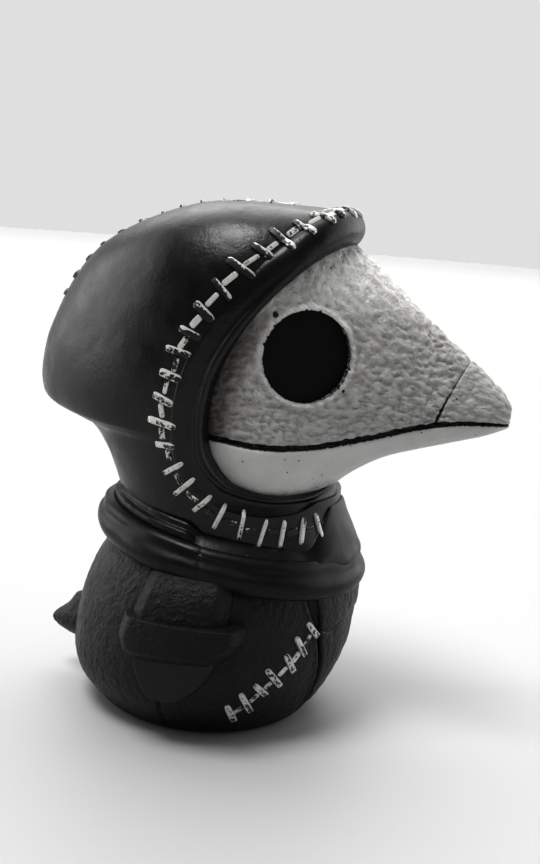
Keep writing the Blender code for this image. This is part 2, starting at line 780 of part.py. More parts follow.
def make_tear_stitching(parts, cutters):
    """The sewn-up tear that runs down and back across the robe's right side."""
    steps = 12
    seam = []
    for i in range(steps + 1):
        share = i / steps
        angle = TEAR_START[0] + (TEAR_END[0] - TEAR_START[0]) * share
        height = TEAR_START[1] + (TEAR_END[1] - TEAR_START[1]) * share
        point = on_body(angle, height, TEAR_LIFT)
        along = (on_body(angle + 0.5, height - 0.2) - on_body(angle - 0.5, height + 0.2)).normalized()
        outward = Vector((point.x, point.y, 0.0)).normalized()
        above, below = on_body(angle, height + 0.5), on_body(angle, height - 0.5)
        normal = outward.cross(Vector((0, 0, 1))).cross(above - below)
        if normal.dot(outward) < 0:
            normal.negate()
        normal.normalize()
        seam.append((point, normal, normal.cross(along).normalized()))
    stitching("tear_stitching", seam, TEAR_BARS, TEAR_BAR_LENGTH, parts, cutters)


def main():
    clear_scene()
    parts = new_collection("plague_doctor_figurine")
    cutters = new_collection("cutters")
    body, chest, robe_envelope = make_robe(parts, cutters)
    hood, hood_envelope = make_hood(parts, cutters)
    hood_surface = surface_of(hood)
    groove = make_rim(hood, parts, cutters)
    make_mask(groove, parts, cutters)
    hem_cutter = make_cape(robe_envelope, hood_envelope, parts, cutters)
    cut(chest, hem_cutter)
    make_arms(hem_cutter, parts)
    make_tail(robe_envelope, parts)
    make_dowel(body, hood, parts, cutters)
    make_rim_stitching(hood_surface, groove, parts, cutters)
    make_crest_stitching(hood_surface, parts, cutters)
    make_tear_stitching(parts, cutters)


main()
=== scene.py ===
"""Looks of the plague doctor figurine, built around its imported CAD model.

Lengths are in millimetres until place() turns them into metres. "Forward" is the way that the beak
points, which is -Y, and "side" is +X. Shapes of the head, the cape and the tail are given in the neck's
frame, whose origin lies NECK_FORWARD ahead of the base's middle.
"""

import math
import random

import bmesh
import bpy
import numpy as np
from mathutils import Matrix, Vector, noise
from mathutils.bvhtree import BVHTree


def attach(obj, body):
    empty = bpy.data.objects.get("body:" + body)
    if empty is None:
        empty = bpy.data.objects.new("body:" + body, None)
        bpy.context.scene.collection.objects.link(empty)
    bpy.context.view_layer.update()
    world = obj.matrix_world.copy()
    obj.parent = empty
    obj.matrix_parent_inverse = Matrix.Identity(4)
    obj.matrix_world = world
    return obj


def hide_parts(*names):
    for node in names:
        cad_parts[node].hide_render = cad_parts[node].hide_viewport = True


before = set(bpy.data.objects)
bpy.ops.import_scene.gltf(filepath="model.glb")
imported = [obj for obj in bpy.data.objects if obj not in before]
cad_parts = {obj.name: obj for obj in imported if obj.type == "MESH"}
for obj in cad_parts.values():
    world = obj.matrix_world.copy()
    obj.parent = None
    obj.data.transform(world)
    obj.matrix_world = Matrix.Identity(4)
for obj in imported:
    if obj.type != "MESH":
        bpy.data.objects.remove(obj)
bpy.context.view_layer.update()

MM = 0.001
NECK_FORWARD = 3.0
UP = np.array((0.0, 0.0, 1.0))

# Level sections of the robe: (radius, height, forward).
BODY_SECTIONS = (
    (16.6, 0.0, 0.0),
    (18.2, 0.4, 0.0),
    (20.2, 2.4, -0.2),
    (22.3, 5.2, -0.5),
    (23.9, 9.0, -0.2),
    (24.6, 13.6, 0.7),
    (24.6, 18.0, 1.3),
    (24.25, 22.8, 2.3),
    (23.2, 26.8, 3.0),
    (20.8, 30.0, 3.0),
    (18.0, 32.4, 3.0),
)
COAT_EDGE_ANGLE = 15.0
COAT_EDGE_HEIGHT = 4.3
COAT_EDGE_SLANT = 0.9
COAT_SEAM_HEIGHT = 20.2
COAT_TOP_HEIGHT = 27.5

# Arms, as (around, height) on the robe's side.
ARM_ANGLE = 94.0
ARM_RADIUS = 24.4
SLEEVE_OUTLINE = ((-6.2, 31.0), (9.2, 31.0), (9.9, 20.5), (-6.9, 20.5))
SLEEVE_BEVELS = (1.0, 2.8, 1.0, 2.8)
CUFF_OUTLINE = (
    (-8.2, 22.5), (12.8, 22.5), (13.4, 19.6), (12.2, 17.0), (8.8, 14.8), (-3.6, 14.2), (-6.6, 15.4),
    (-8.2, 18.2),
)
CUFF_BEVELS = (0.25, 2.8, 3.0, 3.0, 2.8, 2.6, 3.0, 3.2)
GLOVE_MIDDLE = (2.6, 15.6)
GLOVE_HALF_WIDTH = 7.0
GLOVE_DEPTH = 8.2
GLOVE_RISE = 3.0

# Upright outline of the tail: (distance behind the neck, height, half width, half height).
TAIL_SECTIONS = (
    (21.0, 10.0, 6.6, 6.2),
    (24.6, 10.4, 5.4, 5.2),
    (27.6, 10.5, 4.2, 4.2),
    (30.2, 10.1, 3.0, 3.0),
    (32.4, 9.7, 1.7, 1.8),
    (33.6, 9.5, 0.8, 0.9),
    (34.0, 9.4, 0.3, 0.3),
)

# Level sections of the hood: (height, forward reach, backward reach, half width, taper to the back).
HOOD_SECTIONS = (
    (90.0, 13.0, 3.0, 3.0, 1.0),
    (89.3, 17.0, 8.0, 8.6, 1.0),
    (87.6, 18.6, 14.0, 12.8, 1.1),
    (84.4, 19.2, 21.4, 16.2, 1.2),
    (79.6, 19.6, 28.2, 18.8, 1.35),
    (73.6, 20.0, 33.0, 20.4, 1.5),
    (66.6, 20.4, 36.4, 21.2, 1.6),
    (59.8, 20.4, 38.2, 21.8, 1.7),
    (55.0, 20.4, 38.4, 21.8, 1.7),
    (52.2, 20.2, 37.2, 21.6, 1.7),
    (51.0, 20.0, 33.4, 21.4, 1.6),
    (49.6, 19.8, 28.2, 21.1, 1.4),
    (46.4, 19.4, 24.6, 20.6, 1.2),
    (42.4, 18.9, 22.0, 20.0, 1.1),
    (37.6, 19.5, 19.8, 19.3, 1.0),
    (32.8, 21.4, 18.6, 18.6, 1.0),
)

# Edge of the hood around the face, brow to chin: (side, forward, height, radius, distance to the
# stitched seam, how far outside the roll's middle the hood ends, share of the round roll, distance
# from one stitch to the next, how far the edge is shifted away from the face).
RIM_POINTS = (
    (0.0, 15.8, 86.7, 3.3, 1.3, 0.0, 1.0, 3.6, 0.0),
    (6.8, 14.4, 85.8, 3.2, 2.5, 0.0, 1.0, 3.6, 0.0),
    (12.2, 11.2, 82.4, 2.8, 3.8, 0.6, 0.9, 4.3, 0.0),
    (16.2, 6.8, 77.0, 2.5, 4.4, 1.3, 0.6, 4.5, 0.0),
    (18.9, 2.0, 69.8, 2.3, 4.5, 1.8, 0.3, 4.2, 0.0),
    (20.0, -1.2, 62.0, 2.2, 4.6, 2.0, 0.1, 3.9, 0.0),
    (20.2, -2.2, 54.4, 2.2, 4.9, 2.1, 0.0, 3.9, 0.0),
    (19.7, -1.2, 48.0, 2.2, 4.0, 2.1, 0.0, 4.0, 0.0),
    (18.2, 2.8, 43.2, 2.2, 3.3, 2.1, 0.0, 3.8, 0.1),
    (14.6, 9.6, 41.0, 1.8, 4.1, 1.8, 0.0, 3.7, 0.1),
    (8.2, 15.3, 40.9, 1.4, 4.1, 1.2, 0.0, 3.7, 0.0),
    (0.0, 17.5, 42.2, 1.4, 4.2, 1.2, 0.0, 3.7, 0.0),
)
FACE_MIDDLE = (24.0, 62.0)
# The rolled edge's cross-section where it is a flat band with a thin lip, as (away, out) in radii.
BAND_SECTION = (
    (-1.0, -0.9), (-1.06, -0.3), (-1.06, 0.2), (-0.98, 0.52), (-0.82, 0.70), (-0.62, 0.72), (-0.47, 0.58),
    (-0.38, 0.42), (-0.15, 0.40), (0.2, 0.48), (0.6, 0.60), (0.95, 0.72), (1.25, 0.74), (1.5, 0.55),
    (1.4, -0.4), (0.2, -1.0),
)

# Upright sections of the mask: (forward, top, bottom, half width, height where it is widest, squareness
# above that height, below it).
MASK_SECTIONS = (
    (-5.0, 88.5, 34.0, 18.3, 62.0, 3.2, 3.5),
    (2.0, 88.5, 34.0, 18.2, 62.0, 3.2, 3.5),
    (6.0, 88.5, 34.2, 17.9, 62.0, 3.2, 3.4),
    (8.6, 88.4, 34.6, 17.1, 62.0, 3.2, 3.3),
    (14.5, 87.0, 39.6, 13.3, 62.0, 3.0, 3.0),
    (18.3, 84.0, 43.0, 10.8, 62.0, 2.5, 2.5),
    (21.5, 81.9, 45.7, 8.8, 61.6, 2.3, 2.3),
    (26.4, 77.8, 48.7, 6.9, 61.0, 2.2, 2.2),
    (32.0, 72.9, 50.8, 5.4, 60.0, 2.1, 2.1),
    (38.0, 68.1, 52.8, 4.2, 59.2, 2.1, 2.0),
    (43.0, 64.4, 54.5, 3.2, 58.6, 2.0, 2.0),
    (45.6, 62.0, 55.7, 2.4, 58.2, 2.0, 2.0),
    (46.7, 60.2, 56.3, 1.5, 57.9, 2.0, 2.0),
    (47.1, 58.6, 56.8, 0.6, 57.6, 2.0, 2.0),
)
MOUTH_LINE = (
    (-7.0, 52.2), (0.0, 51.9), (8.0, 51.0), (14.5, 50.8), (20.5, 51.6), (26.5, 53.2), (31.0, 54.7),
    (36.0, 56.0), (41.0, 56.7), (52.0, 56.8),
)
TIP_SEAM = ((41.0, 71.0), (39.3, 66.8), (37.2, 62.0), (35.3, 57.0), (34.4, 53.0))
EYE_CENTRE = (13.3, 14.5, 66.1)
EYE_YAW = 36.0
EYE_RADIUS = 7.6
EYE_SUNK = 0.9
# Chips beside the right eye: (up from its middle, level across it, size).
EYE_CHIPS = ((6.7, -5.9, 0.55), (-5.4, 6.9, 0.4))

# Cape: closed (radius, height) outlines swept around the neck, higher at the back than at the front.
CAPE_TILT = 0.15
CAPE_FOLD = 0.30
HEM_BULGE = 0.6
CAPE_OUTLINE = (
    (18.7, 31.0), (18.7, 36.2), (19.0, 37.0), (19.6, 37.3), (20.1, 36.8), (20.15, 36.3), (20.5, 36.1),
    (20.95, 35.8), (21.1, 35.1), (20.9, 33.8), (20.8, 31.0),
)
HEM_OUTLINE = (
    (19.0, 28.8), (20.2, 27.9), (21.8, 27.9), (23.2, 28.6), (23.95, 30.0), (23.9, 31.3), (23.45, 32.3),
    (23.1, 33.2), (22.3, 34.3), (21.3, 34.7), (20.2, 34.2), (19.0, 32.6),
)
BAND_OUTLINE = (
    (18.4, 33.0), (18.4, 35.6), (19.2, 36.1), (20.3, 35.7), (21.3, 34.9), (22.1, 34.2), (22.9, 33.3),
    (22.6, 32.4), (20.2, 32.2),
)
BAND_ANGLE = 96.0
# The bib's outline in front, where it rises over the stitching to the hood's edge.
BIB_FRONT_OUTLINE = (
    (18.0, 33.0), (18.0, 40.5), (19.2, 42.6), (20.6, 39.9), (21.8, 37.6), (22.7, 35.8), (23.5, 34.2),
    (23.0, 32.6), (20.2, 32.2),
)
BIB_FRONT_ANGLE = 17.0

CREST_SEAM = (
    (9.0, 90.2), (2.0, 90.3), (-6.0, 89.6), (-14.0, 87.9), (-21.4, 84.7), (-28.2, 79.9), (-32.9, 73.9),
    (-35.2, 69.6),
)
TEAR_SEAM = ((31.0, 21.4), (36.5, 17.8), (42.0, 14.4), (47.5, 11.6), (54.0, 8.4), (63.0, 4.4))
CREST_PITCH = 3.9
TEAR_PITCH = 3.2
# Under the chin the bib covers the stitches this close to the middle and below this height.
COVERED_HALF_WIDTH = 6.0
COVERED_HEIGHT = 50.0


# ---------------------------------------------------------------- shapes


def smooth_through(rows, steps, closed=False):
    """Rows on a centripetal Catmull-Rom curve through the given rows, steps of them for each stretch."""
    rows = [np.array(row, float) for row in rows]
    if closed:
        ring = [rows[-1], *rows, rows[0], rows[1]]
    else:
        ring = [2 * rows[0] - rows[1], *rows, 2 * rows[-1] - rows[-2]]
    u = (np.arange(steps) / steps)[:, None]
    result = []
    for p0, p1, p2, p3 in zip(ring, ring[1:], ring[2:], ring[3:]):
        t01, t12, t23 = (math.sqrt(np.linalg.norm(b - a)) for a, b in ((p0, p1), (p1, p2), (p2, p3)))
        leave = (p2 - p1) + t12 * ((p1 - p0) / t01 - (p2 - p0) / (t01 + t12))
        arrive = (p2 - p1) + t12 * ((p3 - p2) / t23 - (p3 - p1) / (t12 + t23))
        cubic = 2 * p1 - 2 * p2 + leave + arrive
        square = 3 * p2 - 3 * p1 - 2 * leave - arrive
        result.append(p1 + u * (leave + u * (square + u * cubic)))
    if not closed:
        result.append(rows[-1][None])
    return np.concatenate(result)


def place(side, forward, height):
    """World places in metres of points in the neck's frame."""
    side, forward, height = np.broadcast_arrays(side, forward, height)
    return np.stack((side, -(forward + NECK_FORWARD), height), axis=-1) * MM


def walked_along(line):
    """How far along a line each of its points lies."""
    return np.concatenate(((0.0,), np.cumsum(np.linalg.norm(np.diff(line, axis=0), axis=1))))


def taken_at(distances, walked, line):
    """A line's points at distances along it."""
    return np.stack([np.interp(distances, walked, column) for column in line.T], axis=-1)


def resampled(points, count, closed=True):
    """The same line with its points at even distances."""
    line = np.concatenate((points, points[:1])) if closed else points
    walked = walked_along(line)
    return taken_at(np.linspace(0.0, walked[-1], count, endpoint=not closed), walked, line)


def full_turn(count):
    return np.linspace(0.0, 2 * math.pi, count, endpoint=False)


def signed_power(x, power):
    return np.sign(x) * np.abs(x) ** power


def unit(vectors):
    return vectors / np.maximum(np.linalg.norm(vectors, axis=-1, keepdims=True), 1e-12)


def outward_normals(grid, loop=False):
    """Normals of a grid of rings, pointing away from each ring's middle."""
    around = np.roll(grid, -1, axis=1) - np.roll(grid, 1, axis=1)
    if loop:
        along = np.roll(grid, -1, axis=0) - np.roll(grid, 1, axis=0)
    else:
        along = np.gradient(grid, axis=0)
    normals = unit(np.cross(around, along))
    outward = grid - grid.mean(axis=1, keepdims=True)
    return normals * np.sign((normals * outward).sum(axis=(1, 2)))[:, None, None]


def raised(grid, lift, loop=False):
    """A grid of rings with its points moved outward by lift mm."""
    return grid + outward_normals(grid, loop) * lift[..., None] * MM


def fractal(places, size, octaves=3, seed=0.0, stretch=(1.0, 1.0, 1.0)):
    """Smooth noise between about -1 and 1 at world places, whose largest lumps are size mm wide."""
    scaled = places / MM / size / np.array(stretch) + seed
    values = [noise.fractal(p, 1.0, 2.0, octaves) for p in scaled.reshape(-1, 3).tolist()]
    return np.array(values).reshape(places.shape[:-1])


def soft_step(x, low, high):
    t = np.clip((x - low) / (high - low), 0.0, 1.0)
    return t * t * (3 - 2 * t)


def bell(x, width):
    return np.exp(-((x / width) ** 2))


def distance_to_line(points, line):
    """Distance from each (..., 2) point to a line of (n, 2) points, and the sign of its side."""
    a, b = line[:-1], line[1:]
    ab = b - a
    ap = points[..., None, :] - a
    share = np.clip((ap * ab).sum(-1) / (ab * ab).sum(-1), 0.0, 1.0)
    offset = ap - share[..., None] * ab
    distance = np.linalg.norm(offset, axis=-1)
    nearest = distance.argmin(axis=-1)[..., None]
    cross = ab[..., 0] * ap[..., 1] - ab[..., 1] * ap[..., 0]
    side = np.sign(np.take_along_axis(cross, nearest, -1)[..., 0])
    return np.take_along_axis(distance, nearest, -1)[..., 0], side


class Skin:
    """Grids of places that become one mesh, with named numbers at its points."""

    def __init__(self, name):
        self.name = name
        self.places = []
        self.faces = []
        self.numbers = {}
        self.count = 0

    def add(self, grid, loop=False, **numbers):
        """Adds a grid of rings, which end in caps unless the last ring joins the first in a loop."""
        rows, points, _ = grid.shape
        index = np.arange(rows * points).reshape(rows, points) + self.count
        across = np.roll(index, -1, axis=1)
        if loop:
            quads = (index, across, np.roll(across, -1, axis=0), np.roll(index, -1, axis=0))
        else:
            quads = (index[:-1], across[:-1], across[1:], index[1:])
        self.faces += np.stack(quads, -1).reshape(-1, 4).tolist()
        self.places.append(grid.reshape(-1, 3))
        values = {key: np.broadcast_to(value, (rows, points)).ravel() for key, value in numbers.items()}
        self.count += rows * points
        if not loop:
            for ring in (0, rows - 1):
                self.places.append(grid[ring].mean(axis=0)[None])
                self.faces += [[a, b, self.count] for a, b in zip(index[ring], across[ring])]
                self.count += 1
                for key, value in numbers.items():
                    middle = np.broadcast_to(value, (rows, points))[ring].mean()
                    values[key] = np.append(values[key], middle)
        for key, value in values.items():
            self.numbers.setdefault(key, []).append(value)
        return self

    def build(self, sharp=40.0):
        mesh = bpy.data.meshes.new(self.name)
        mesh.from_pydata(np.concatenate(self.places).tolist(), [], self.faces)
        corners = np.empty(len(mesh.loops), int)
        mesh.loops.foreach_get("vertex_index", corners)
        for key, values in self.numbers.items():
            layer = mesh.attributes.new(key, "FLOAT", "CORNER")
            layer.data.foreach_set("value", np.concatenate(values)[corners])
        tidy_mesh(mesh, sharp)
        obj = bpy.data.objects.new(self.name, mesh)
        bpy.context.scene.collection.objects.link(obj)
        return obj


def tidy_mesh(mesh, sharp):
    """Drops faces without area, turns all faces outward, and smooths edges flatter than sharp degrees."""
    bm = bmesh.new()
    bm.from_mesh(mesh)
    bmesh.ops.dissolve_degenerate(bm, edges=bm.edges, dist=1e-7)
    bmesh.ops.recalc_face_normals(bm, faces=bm.faces)
    bm.to_mesh(mesh)
    bm.free()
    mesh.shade_smooth()
    mesh.set_sharp_from_angle(angle=math.radians(sharp))


def subtract(obj, *cutters):
    """Cuts solids out of an object and keeps the result as its mesh."""
    for cutter in cutters:
        modifier = obj.modifiers.new("cut", "BOOLEAN")
        modifier.operation = "DIFFERENCE"
        modifier.solver = "EXACT"
        modifier.object = cutter
    graph = bpy.context.evaluated_depsgraph_get()
    mesh = bpy.data.meshes.new_from_object(obj.evaluated_get(graph))
    obj.modifiers.clear()
    old = obj.data
    obj.data = mesh
    bpy.data.meshes.remove(old)
    mesh.name = obj.name
    tidy_mesh(mesh, 60.0)


def prism(*lines):
    """A cutter through the whole figurine. Its (forward, height) outline joins the lines."""
    outline = np.concatenate(lines)
    count = len(outline)
    skin = Skin("cutter")
    skin.places = [place(side, *outline.T) for side in (-60.0, 60.0)]
    skin.faces = [[i, (i + 1) % count, count + (i + 1) % count, count + i] for i in range(count)]
    skin.faces += [list(range(count)), list(range(count, 2 * count))]
    return skin.build()


def nearest_on(surface, places):
    """The nearest points of a surface, and its normals there."""
    found = [surface.find_nearest(Vector(spot))[:2] for spot in places]
    return np.array([point for point, _ in found]), np.array([normal for _, normal in found])


def surface_of(*objects):
    """A tree of the surfaces of several objects, for laying stitches on them."""
    places, faces, count = [], [], 0
    for obj in objects:
        places += [tuple(v.co) for v in obj.data.vertices]
        faces += [[count + i for i in p.vertices] for p in obj.data.polygons]
        count += len(obj.data.vertices)
    return BVHTree.FromPolygons(places, faces)


# ---------------------------------------------------------------- materials


def feed(socket, value):
    """Links a socket's value to another socket, or sets a number or colour on it."""
    if isinstance(value, bpy.types.NodeSocket):
        socket.id_data.links.new(value, socket)
    elif socket.type == "RGBA":
        socket.default_value = (*value, 1.0)
    else:
        socket.default_value = value


def put(tree, kind, inputs=None, **settings):
    """Adds a node with values for its sockets."""
    made = tree.nodes.new(kind)
    for key, value in settings.items():
        setattr(made, key, value)
    for key, value in (inputs or {}).items():
        feed(made.inputs[key], value)
    return made


def wire(material, **sockets):
    """Feeds the material's shader. Sockets' names have _ for a space."""
    shader = material.node_tree.nodes["Principled BSDF"]
    for key, value in sockets.items():
        feed(shader.inputs[key.replace("_", " ")], value)


def new_material(name, **sockets):
    """A material, and the places on its object in metres."""
    material = bpy.data.materials.new(name)
    material.use_nodes = True
    wire(material, **sockets)
    return material, put(material.node_tree, "ShaderNodeTexCoord").outputs["Object"]


def lumps(places, size, detail=3.0, roughness=0.5, stretch=None):
    """Noise whose lumps are size mm wide, from 0 to 1."""
    tree = places.id_data
    if stretch is not None:
        places = put(tree, "ShaderNodeMapping", {"Vector": places, "Scale": stretch}).outputs["Vector"]
    inputs = {"Vector": places, "Scale": 1.0 / (size * MM), "Detail": detail, "Roughness": roughness}
    return put(tree, "ShaderNodeTexNoise", inputs).outputs["Fac"]


def spread(value, low, high, to_low=0.0, to_high=1.0):
    """A value between low and high, smoothly mapped to to_low and to_high."""
    inputs = {"Value": value, "From Min": low, "From Max": high, "To Min": to_low, "To Max": to_high}
    made = put(value.id_data, "ShaderNodeMapRange", inputs, interpolation_type="SMOOTHSTEP", clamp=True)
    return made.outputs["Result"]


def pits(places, spacing, radius):
    """1 in sparse round pits and 0 between them."""
    inputs = {"Vector": places, "Scale": 1.0 / (spacing * MM), "Randomness": 1.0}
    distance = put(places.id_data, "ShaderNodeTexVoronoi", inputs).outputs["Distance"]
    return spread(distance, radius / spacing, radius / spacing * 0.55)


def blended(share, first, second):
    """Two colours mixed by a share."""
    inputs = {0: share, 6: first, 7: second}
    return put(share.id_data, "ShaderNodeMix", inputs, data_type="RGBA").outputs[2]


def compute(operation, *values):
    """A sum, product or the like of values, at least one of which is a socket."""
    tree = next(value.id_data for value in values if isinstance(value, bpy.types.NodeSocket))
    return put(tree, "ShaderNodeMath", dict(enumerate(values)), operation=operation).outputs[0]


def stored(material, name):
    """The number that the mesh carries under a name."""
    return put(material.node_tree, "ShaderNodeAttribute", attribute_name=name).outputs["Fac"]


def bump(height, depth, **before):
    """A bump of a height from 0 to 1 that stands for depth mm, on top of a Normal before it."""
    inputs = {"Height": height, "Distance": depth * MM, "Strength": 1.0, **before}
    return put(height.id_data, "ShaderNodeBump", inputs).outputs["Normal"]


def black_paint(name, dark, light, roughness, specular, grain, grain_size, stretch=None):
    """Black paint on resin, with a grain, pinholes, and dust that has settled in the paint."""
    material, places = new_material(name, Specular_IOR_Level=specular)
    cloud = lumps(places, 14.0, 4.0)
    colour = blended(spread(cloud, 0.35, 0.7), dark, light)
    specks = compute("MULTIPLY", pits(places, 5.2, 0.14), lumps(places, 3.0))
    colour = blended(specks, colour, (0.22, 0.22, 0.22))
    gloss = spread(lumps(places, 5.0, 5.0), 0.3, 0.7, roughness - 0.06, roughness + 0.08)
    coarse = bump(lumps(places, grain_size, 4.0, 0.6, stretch), grain)
    holes = bump(compute("SUBTRACT", 1.0, pits(places, 3.4, 0.12)), 0.08, Normal=coarse)
    wire(material, Base_Color=colour, Roughness=gloss, Normal=holes)
    return material


def mask_paint(name, pale, wash_and_painted_light, roughness, hole_spacing, depth):
    """Off-white paint with a dark wash near the hood, plus painted light: painted shade in the creases
    and near the hood, and painted highlights on the brow and the eye sockets' lips.
    """
    material, places = new_material(name, Roughness=roughness)
    fine = lumps(places, 0.6, 4.0, 0.6)
    cloud = lumps(places, 7.0, 4.0)
    tint = blended(spread(cloud, 0.3, 0.75), pale, tuple(0.86 * c for c in pale))
    # Painted shade: the creases are darkened towards the dark colour, broken up by fine noise.
    crease_shade = compute("MULTIPLY", stored(material, "crease"), spread(fine, 0.3, 0.7, 0.05, 0.35))
    tint = blended(crease_shade, tint, wash_and_painted_light)
    # Darker near the hood and towards the mask's back: partly the real dark wash, partly painted shade,
    # broken up by streaks.
    streaks = lumps(places, 1.6, 5.0, 0.7)
    streaky_darkening = compute("ADD", stored(material, "wash_and_painted_light"), compute("SUBTRACT", streaks, 0.5))
    tint = blended(spread(streaky_darkening, 0.05, 1.15), tint, wash_and_painted_light)
    # Painted highlight: lighter where the stored number is below zero, on the brow and the eye sockets'
    # lips.
    painted_highlight = spread(stored(material, "wash_and_painted_light"), -0.5, -0.1, 0.8, 0.0)
    tint = blended(painted_highlight, tint, tuple(1.6 * c for c in pale))
    # The pinholes are painted near black: painted shade inside them.
    holes = pits(places, hole_spacing, 0.17)
    tint = blended(holes, tint, (0.03, 0.028, 0.026))
    ragged = compute("MULTIPLY", compute("SUBTRACT", lumps(places, 0.5), 0.5), 0.35)
    beside = compute("ADD", stored(material, "groove"), ragged)
    tint = blended(spread(beside, -0.03, 0.07, 1.0, 0.0), tint, (0.008, 0.008, 0.008))
    height = compute("SUBTRACT", fine, holes)
    wire(material, Base_Color=tint, Normal=bump(height, depth))
    return material


def silver_paint(name):
    """Silver brushed over black: it covers where the stored share and the brush marks are high."""
    material, places = new_material(name, Roughness=0.42)
    strokes = lumps(places, 0.8, 5.0, 0.65)
    patchy = compute("MULTIPLY", compute("SUBTRACT", strokes, 0.5), 1.7)
    share = compute("ADD", stored(material, "silver"), patchy)
    covered = spread(share, 0.40, 0.58)
    shade = blended(lumps(places, 0.5, 3.0), (0.50, 0.50, 0.48), (0.74, 0.74, 0.71))
    colour = blended(covered, (0.012, 0.012, 0.014), shade)
    metallic = compute("MULTIPLY", covered, 0.25)
    wire(material, Base_Color=colour, Metallic=metallic, Normal=bump(strokes, 0.06))
    return material


def lens_paint(name):
    """Dull black with a little dust."""
    material, places = new_material(name, Roughness=0.7, Specular_IOR_Level=0.2)
    dust = compute("MULTIPLY", pits(places, 2.3, 0.10), lumps(places, 2.0))
    colour = blended(lumps(places, 4.0), (0.002, 0.002, 0.003), (0.005, 0.005, 0.006))
    colour = blended(dust, colour, (0.25, 0.25, 0.25))
    wire(material, Base_Color=colour, Normal=bump(lumps(places, 0.5, 4.0), 0.05))
    return material


def wood(name):
    material, places = new_material(name, Roughness=0.7)
    grain = lumps(places, 1.2, 4.0, 0.6, (1.0, 1.0, 0.08))
    colour = blended(grain, (0.62, 0.47, 0.30), (0.42, 0.28, 0.16))
    wire(material, Base_Color=colour, Normal=bump(grain, 0.05))
    return material


BLACK = ((0.003, 0.003, 0.004), (0.006, 0.006, 0.008))
ROBE_BLACK = ((0.003, 0.003, 0.005), (0.006, 0.006, 0.009))
GLOVE_BLACK = ((0.008, 0.008, 0.011), (0.012, 0.012, 0.016))
UPRIGHT = (1.0, 1.0, 0.7)
PALE = (0.54, 0.535, 0.52)
JAW_PALE = (0.60, 0.60, 0.59)
TIP_PALE = (0.49, 0.485, 0.47)
# Each paint is a material and the name of its slot.
GLOSS = (black_paint("black_gloss", *BLACK, 0.29, 0.45, 0.045, 0.6), "black_gloss_paint")
SATIN = (black_paint("black_satin", *BLACK, 0.38, 0.32, 0.05, 1.2), "black_gloss_paint")
ROBE = (black_paint("black_robe", *ROBE_BLACK, 0.38, 0.36, 0.28, 0.6, UPRIGHT), "black_robe_paint")
CLOTH = (black_paint("black_cloth", *BLACK, 0.38, 0.34, 0.34, 0.6), "black_robe_paint")
GLOVE = (black_paint("black_glove", *GLOVE_BLACK, 0.38, 0.40, 0.03, 0.8), "black_robe_paint")
MASK = (mask_paint("mask_white", PALE, (0.12, 0.11, 0.10), 0.40, 4.6, 0.42), "mask_paint")
JAW = (mask_paint("jaw_white", JAW_PALE, (0.18, 0.17, 0.165), 0.5, 1.65, 0.09), "jaw_paint")
TIP = (mask_paint("tip_white", TIP_PALE, (0.18, 0.17, 0.16), 0.5, 4.0, 0.12), "tip_paint")
LENS = (lens_paint("lens_black"), "lens_paint")
SILVER = (silver_paint("stitch_silver"), "silver_paint")


def finish_piece(obj, node, paint):
    """The piece takes a CAD node's place and rides on the one body."""
    material, slot = paint
    obj.data.materials.clear()
    obj.data.materials.append(material)
    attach(obj, "root")
    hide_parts(node)
    return obj


def finish_skin(name, grid, sharp, node, paint, loop=False):
    """Makes a piece of one grid of rings."""
    return finish_piece(Skin(name).add(grid, loop).build(sharp), node, paint)


# ---------------------------------------------------------------- robe

BODY_CURVE = smooth_through(BODY_SECTIONS, 24)


def on_body(angle, height, lift=0.0):
    """Places over the robe: degrees from the front towards the figure's right, and a lift in mm."""
    angle, height, lift = np.broadcast_arrays(np.asarray(angle, float), height, lift)
    radius = np.interp(height, BODY_CURVE[:, 1], BODY_CURVE[:, 0]) + lift
    forward = np.interp(height, BODY_CURVE[:, 1], BODY_CURVE[:, 2])
    turn = np.radians(angle)
    return np.stack((-radius * np.sin(turn), -forward - radius * np.cos(turn), height), -1) * MM


def coat_edge(height):
    return COAT_EDGE_ANGLE + COAT_EDGE_SLANT * (height - COAT_EDGE_HEIGHT)


def wrinkles(places, seed=0.0, upright=1.3):
    """The robe's fine wrinkles, in mm, which can be drawn out upright."""
    fine = fractal(places, 1.1, 3, seed, (1.0, 1.0, upright))
    return 0.11 * fine + 0.05 * fractal(places, 7.0, 2, seed)


def make_robe():
    """The body, with a gap and a lip along the coat's edges and a mould line under the right arm."""
    height = resampled(BODY_CURVE[:, :2], 170, closed=False)[:, 1]
    angle = np.linspace(-180.0, 180.0, 480, endpoint=False)[None, :]
    height = height[:, None]
    grid = on_body(angle, height)
    around = np.radians(np.abs(angle) - coat_edge(height)) * ARM_RADIUS
    gape = soft_step(height, 18.0, 26.0)
    lip = 0.28 * bell(around - 1.0 - 1.5 * gape, 0.5)
    gap = 0.95 * bell(around + 0.1 - 0.8 * gape, 0.55 + 0.7 * gape)
    lift = wrinkles(grid) * soft_step(height, 0.2, 1.5)
    lift += soft_step(height, 1.0, 3.5) * (lip - gap)
    mould_line = np.radians(angle - ARM_ANGLE + 3.0) * ARM_RADIUS
    lift -= 0.4 * bell(mould_line, 0.3) * soft_step(height, 0.6, 1.2) * soft_step(-height, -8.5, -7.0)
    finish_skin("robe", raised(grid, lift), 60.0, "robe_body", ROBE)


def seam_dip(share):
    """The coat's cross seam sags a little near the coat's edges."""
    return -0.9 * bell(np.abs(share) - 0.76, 0.2)


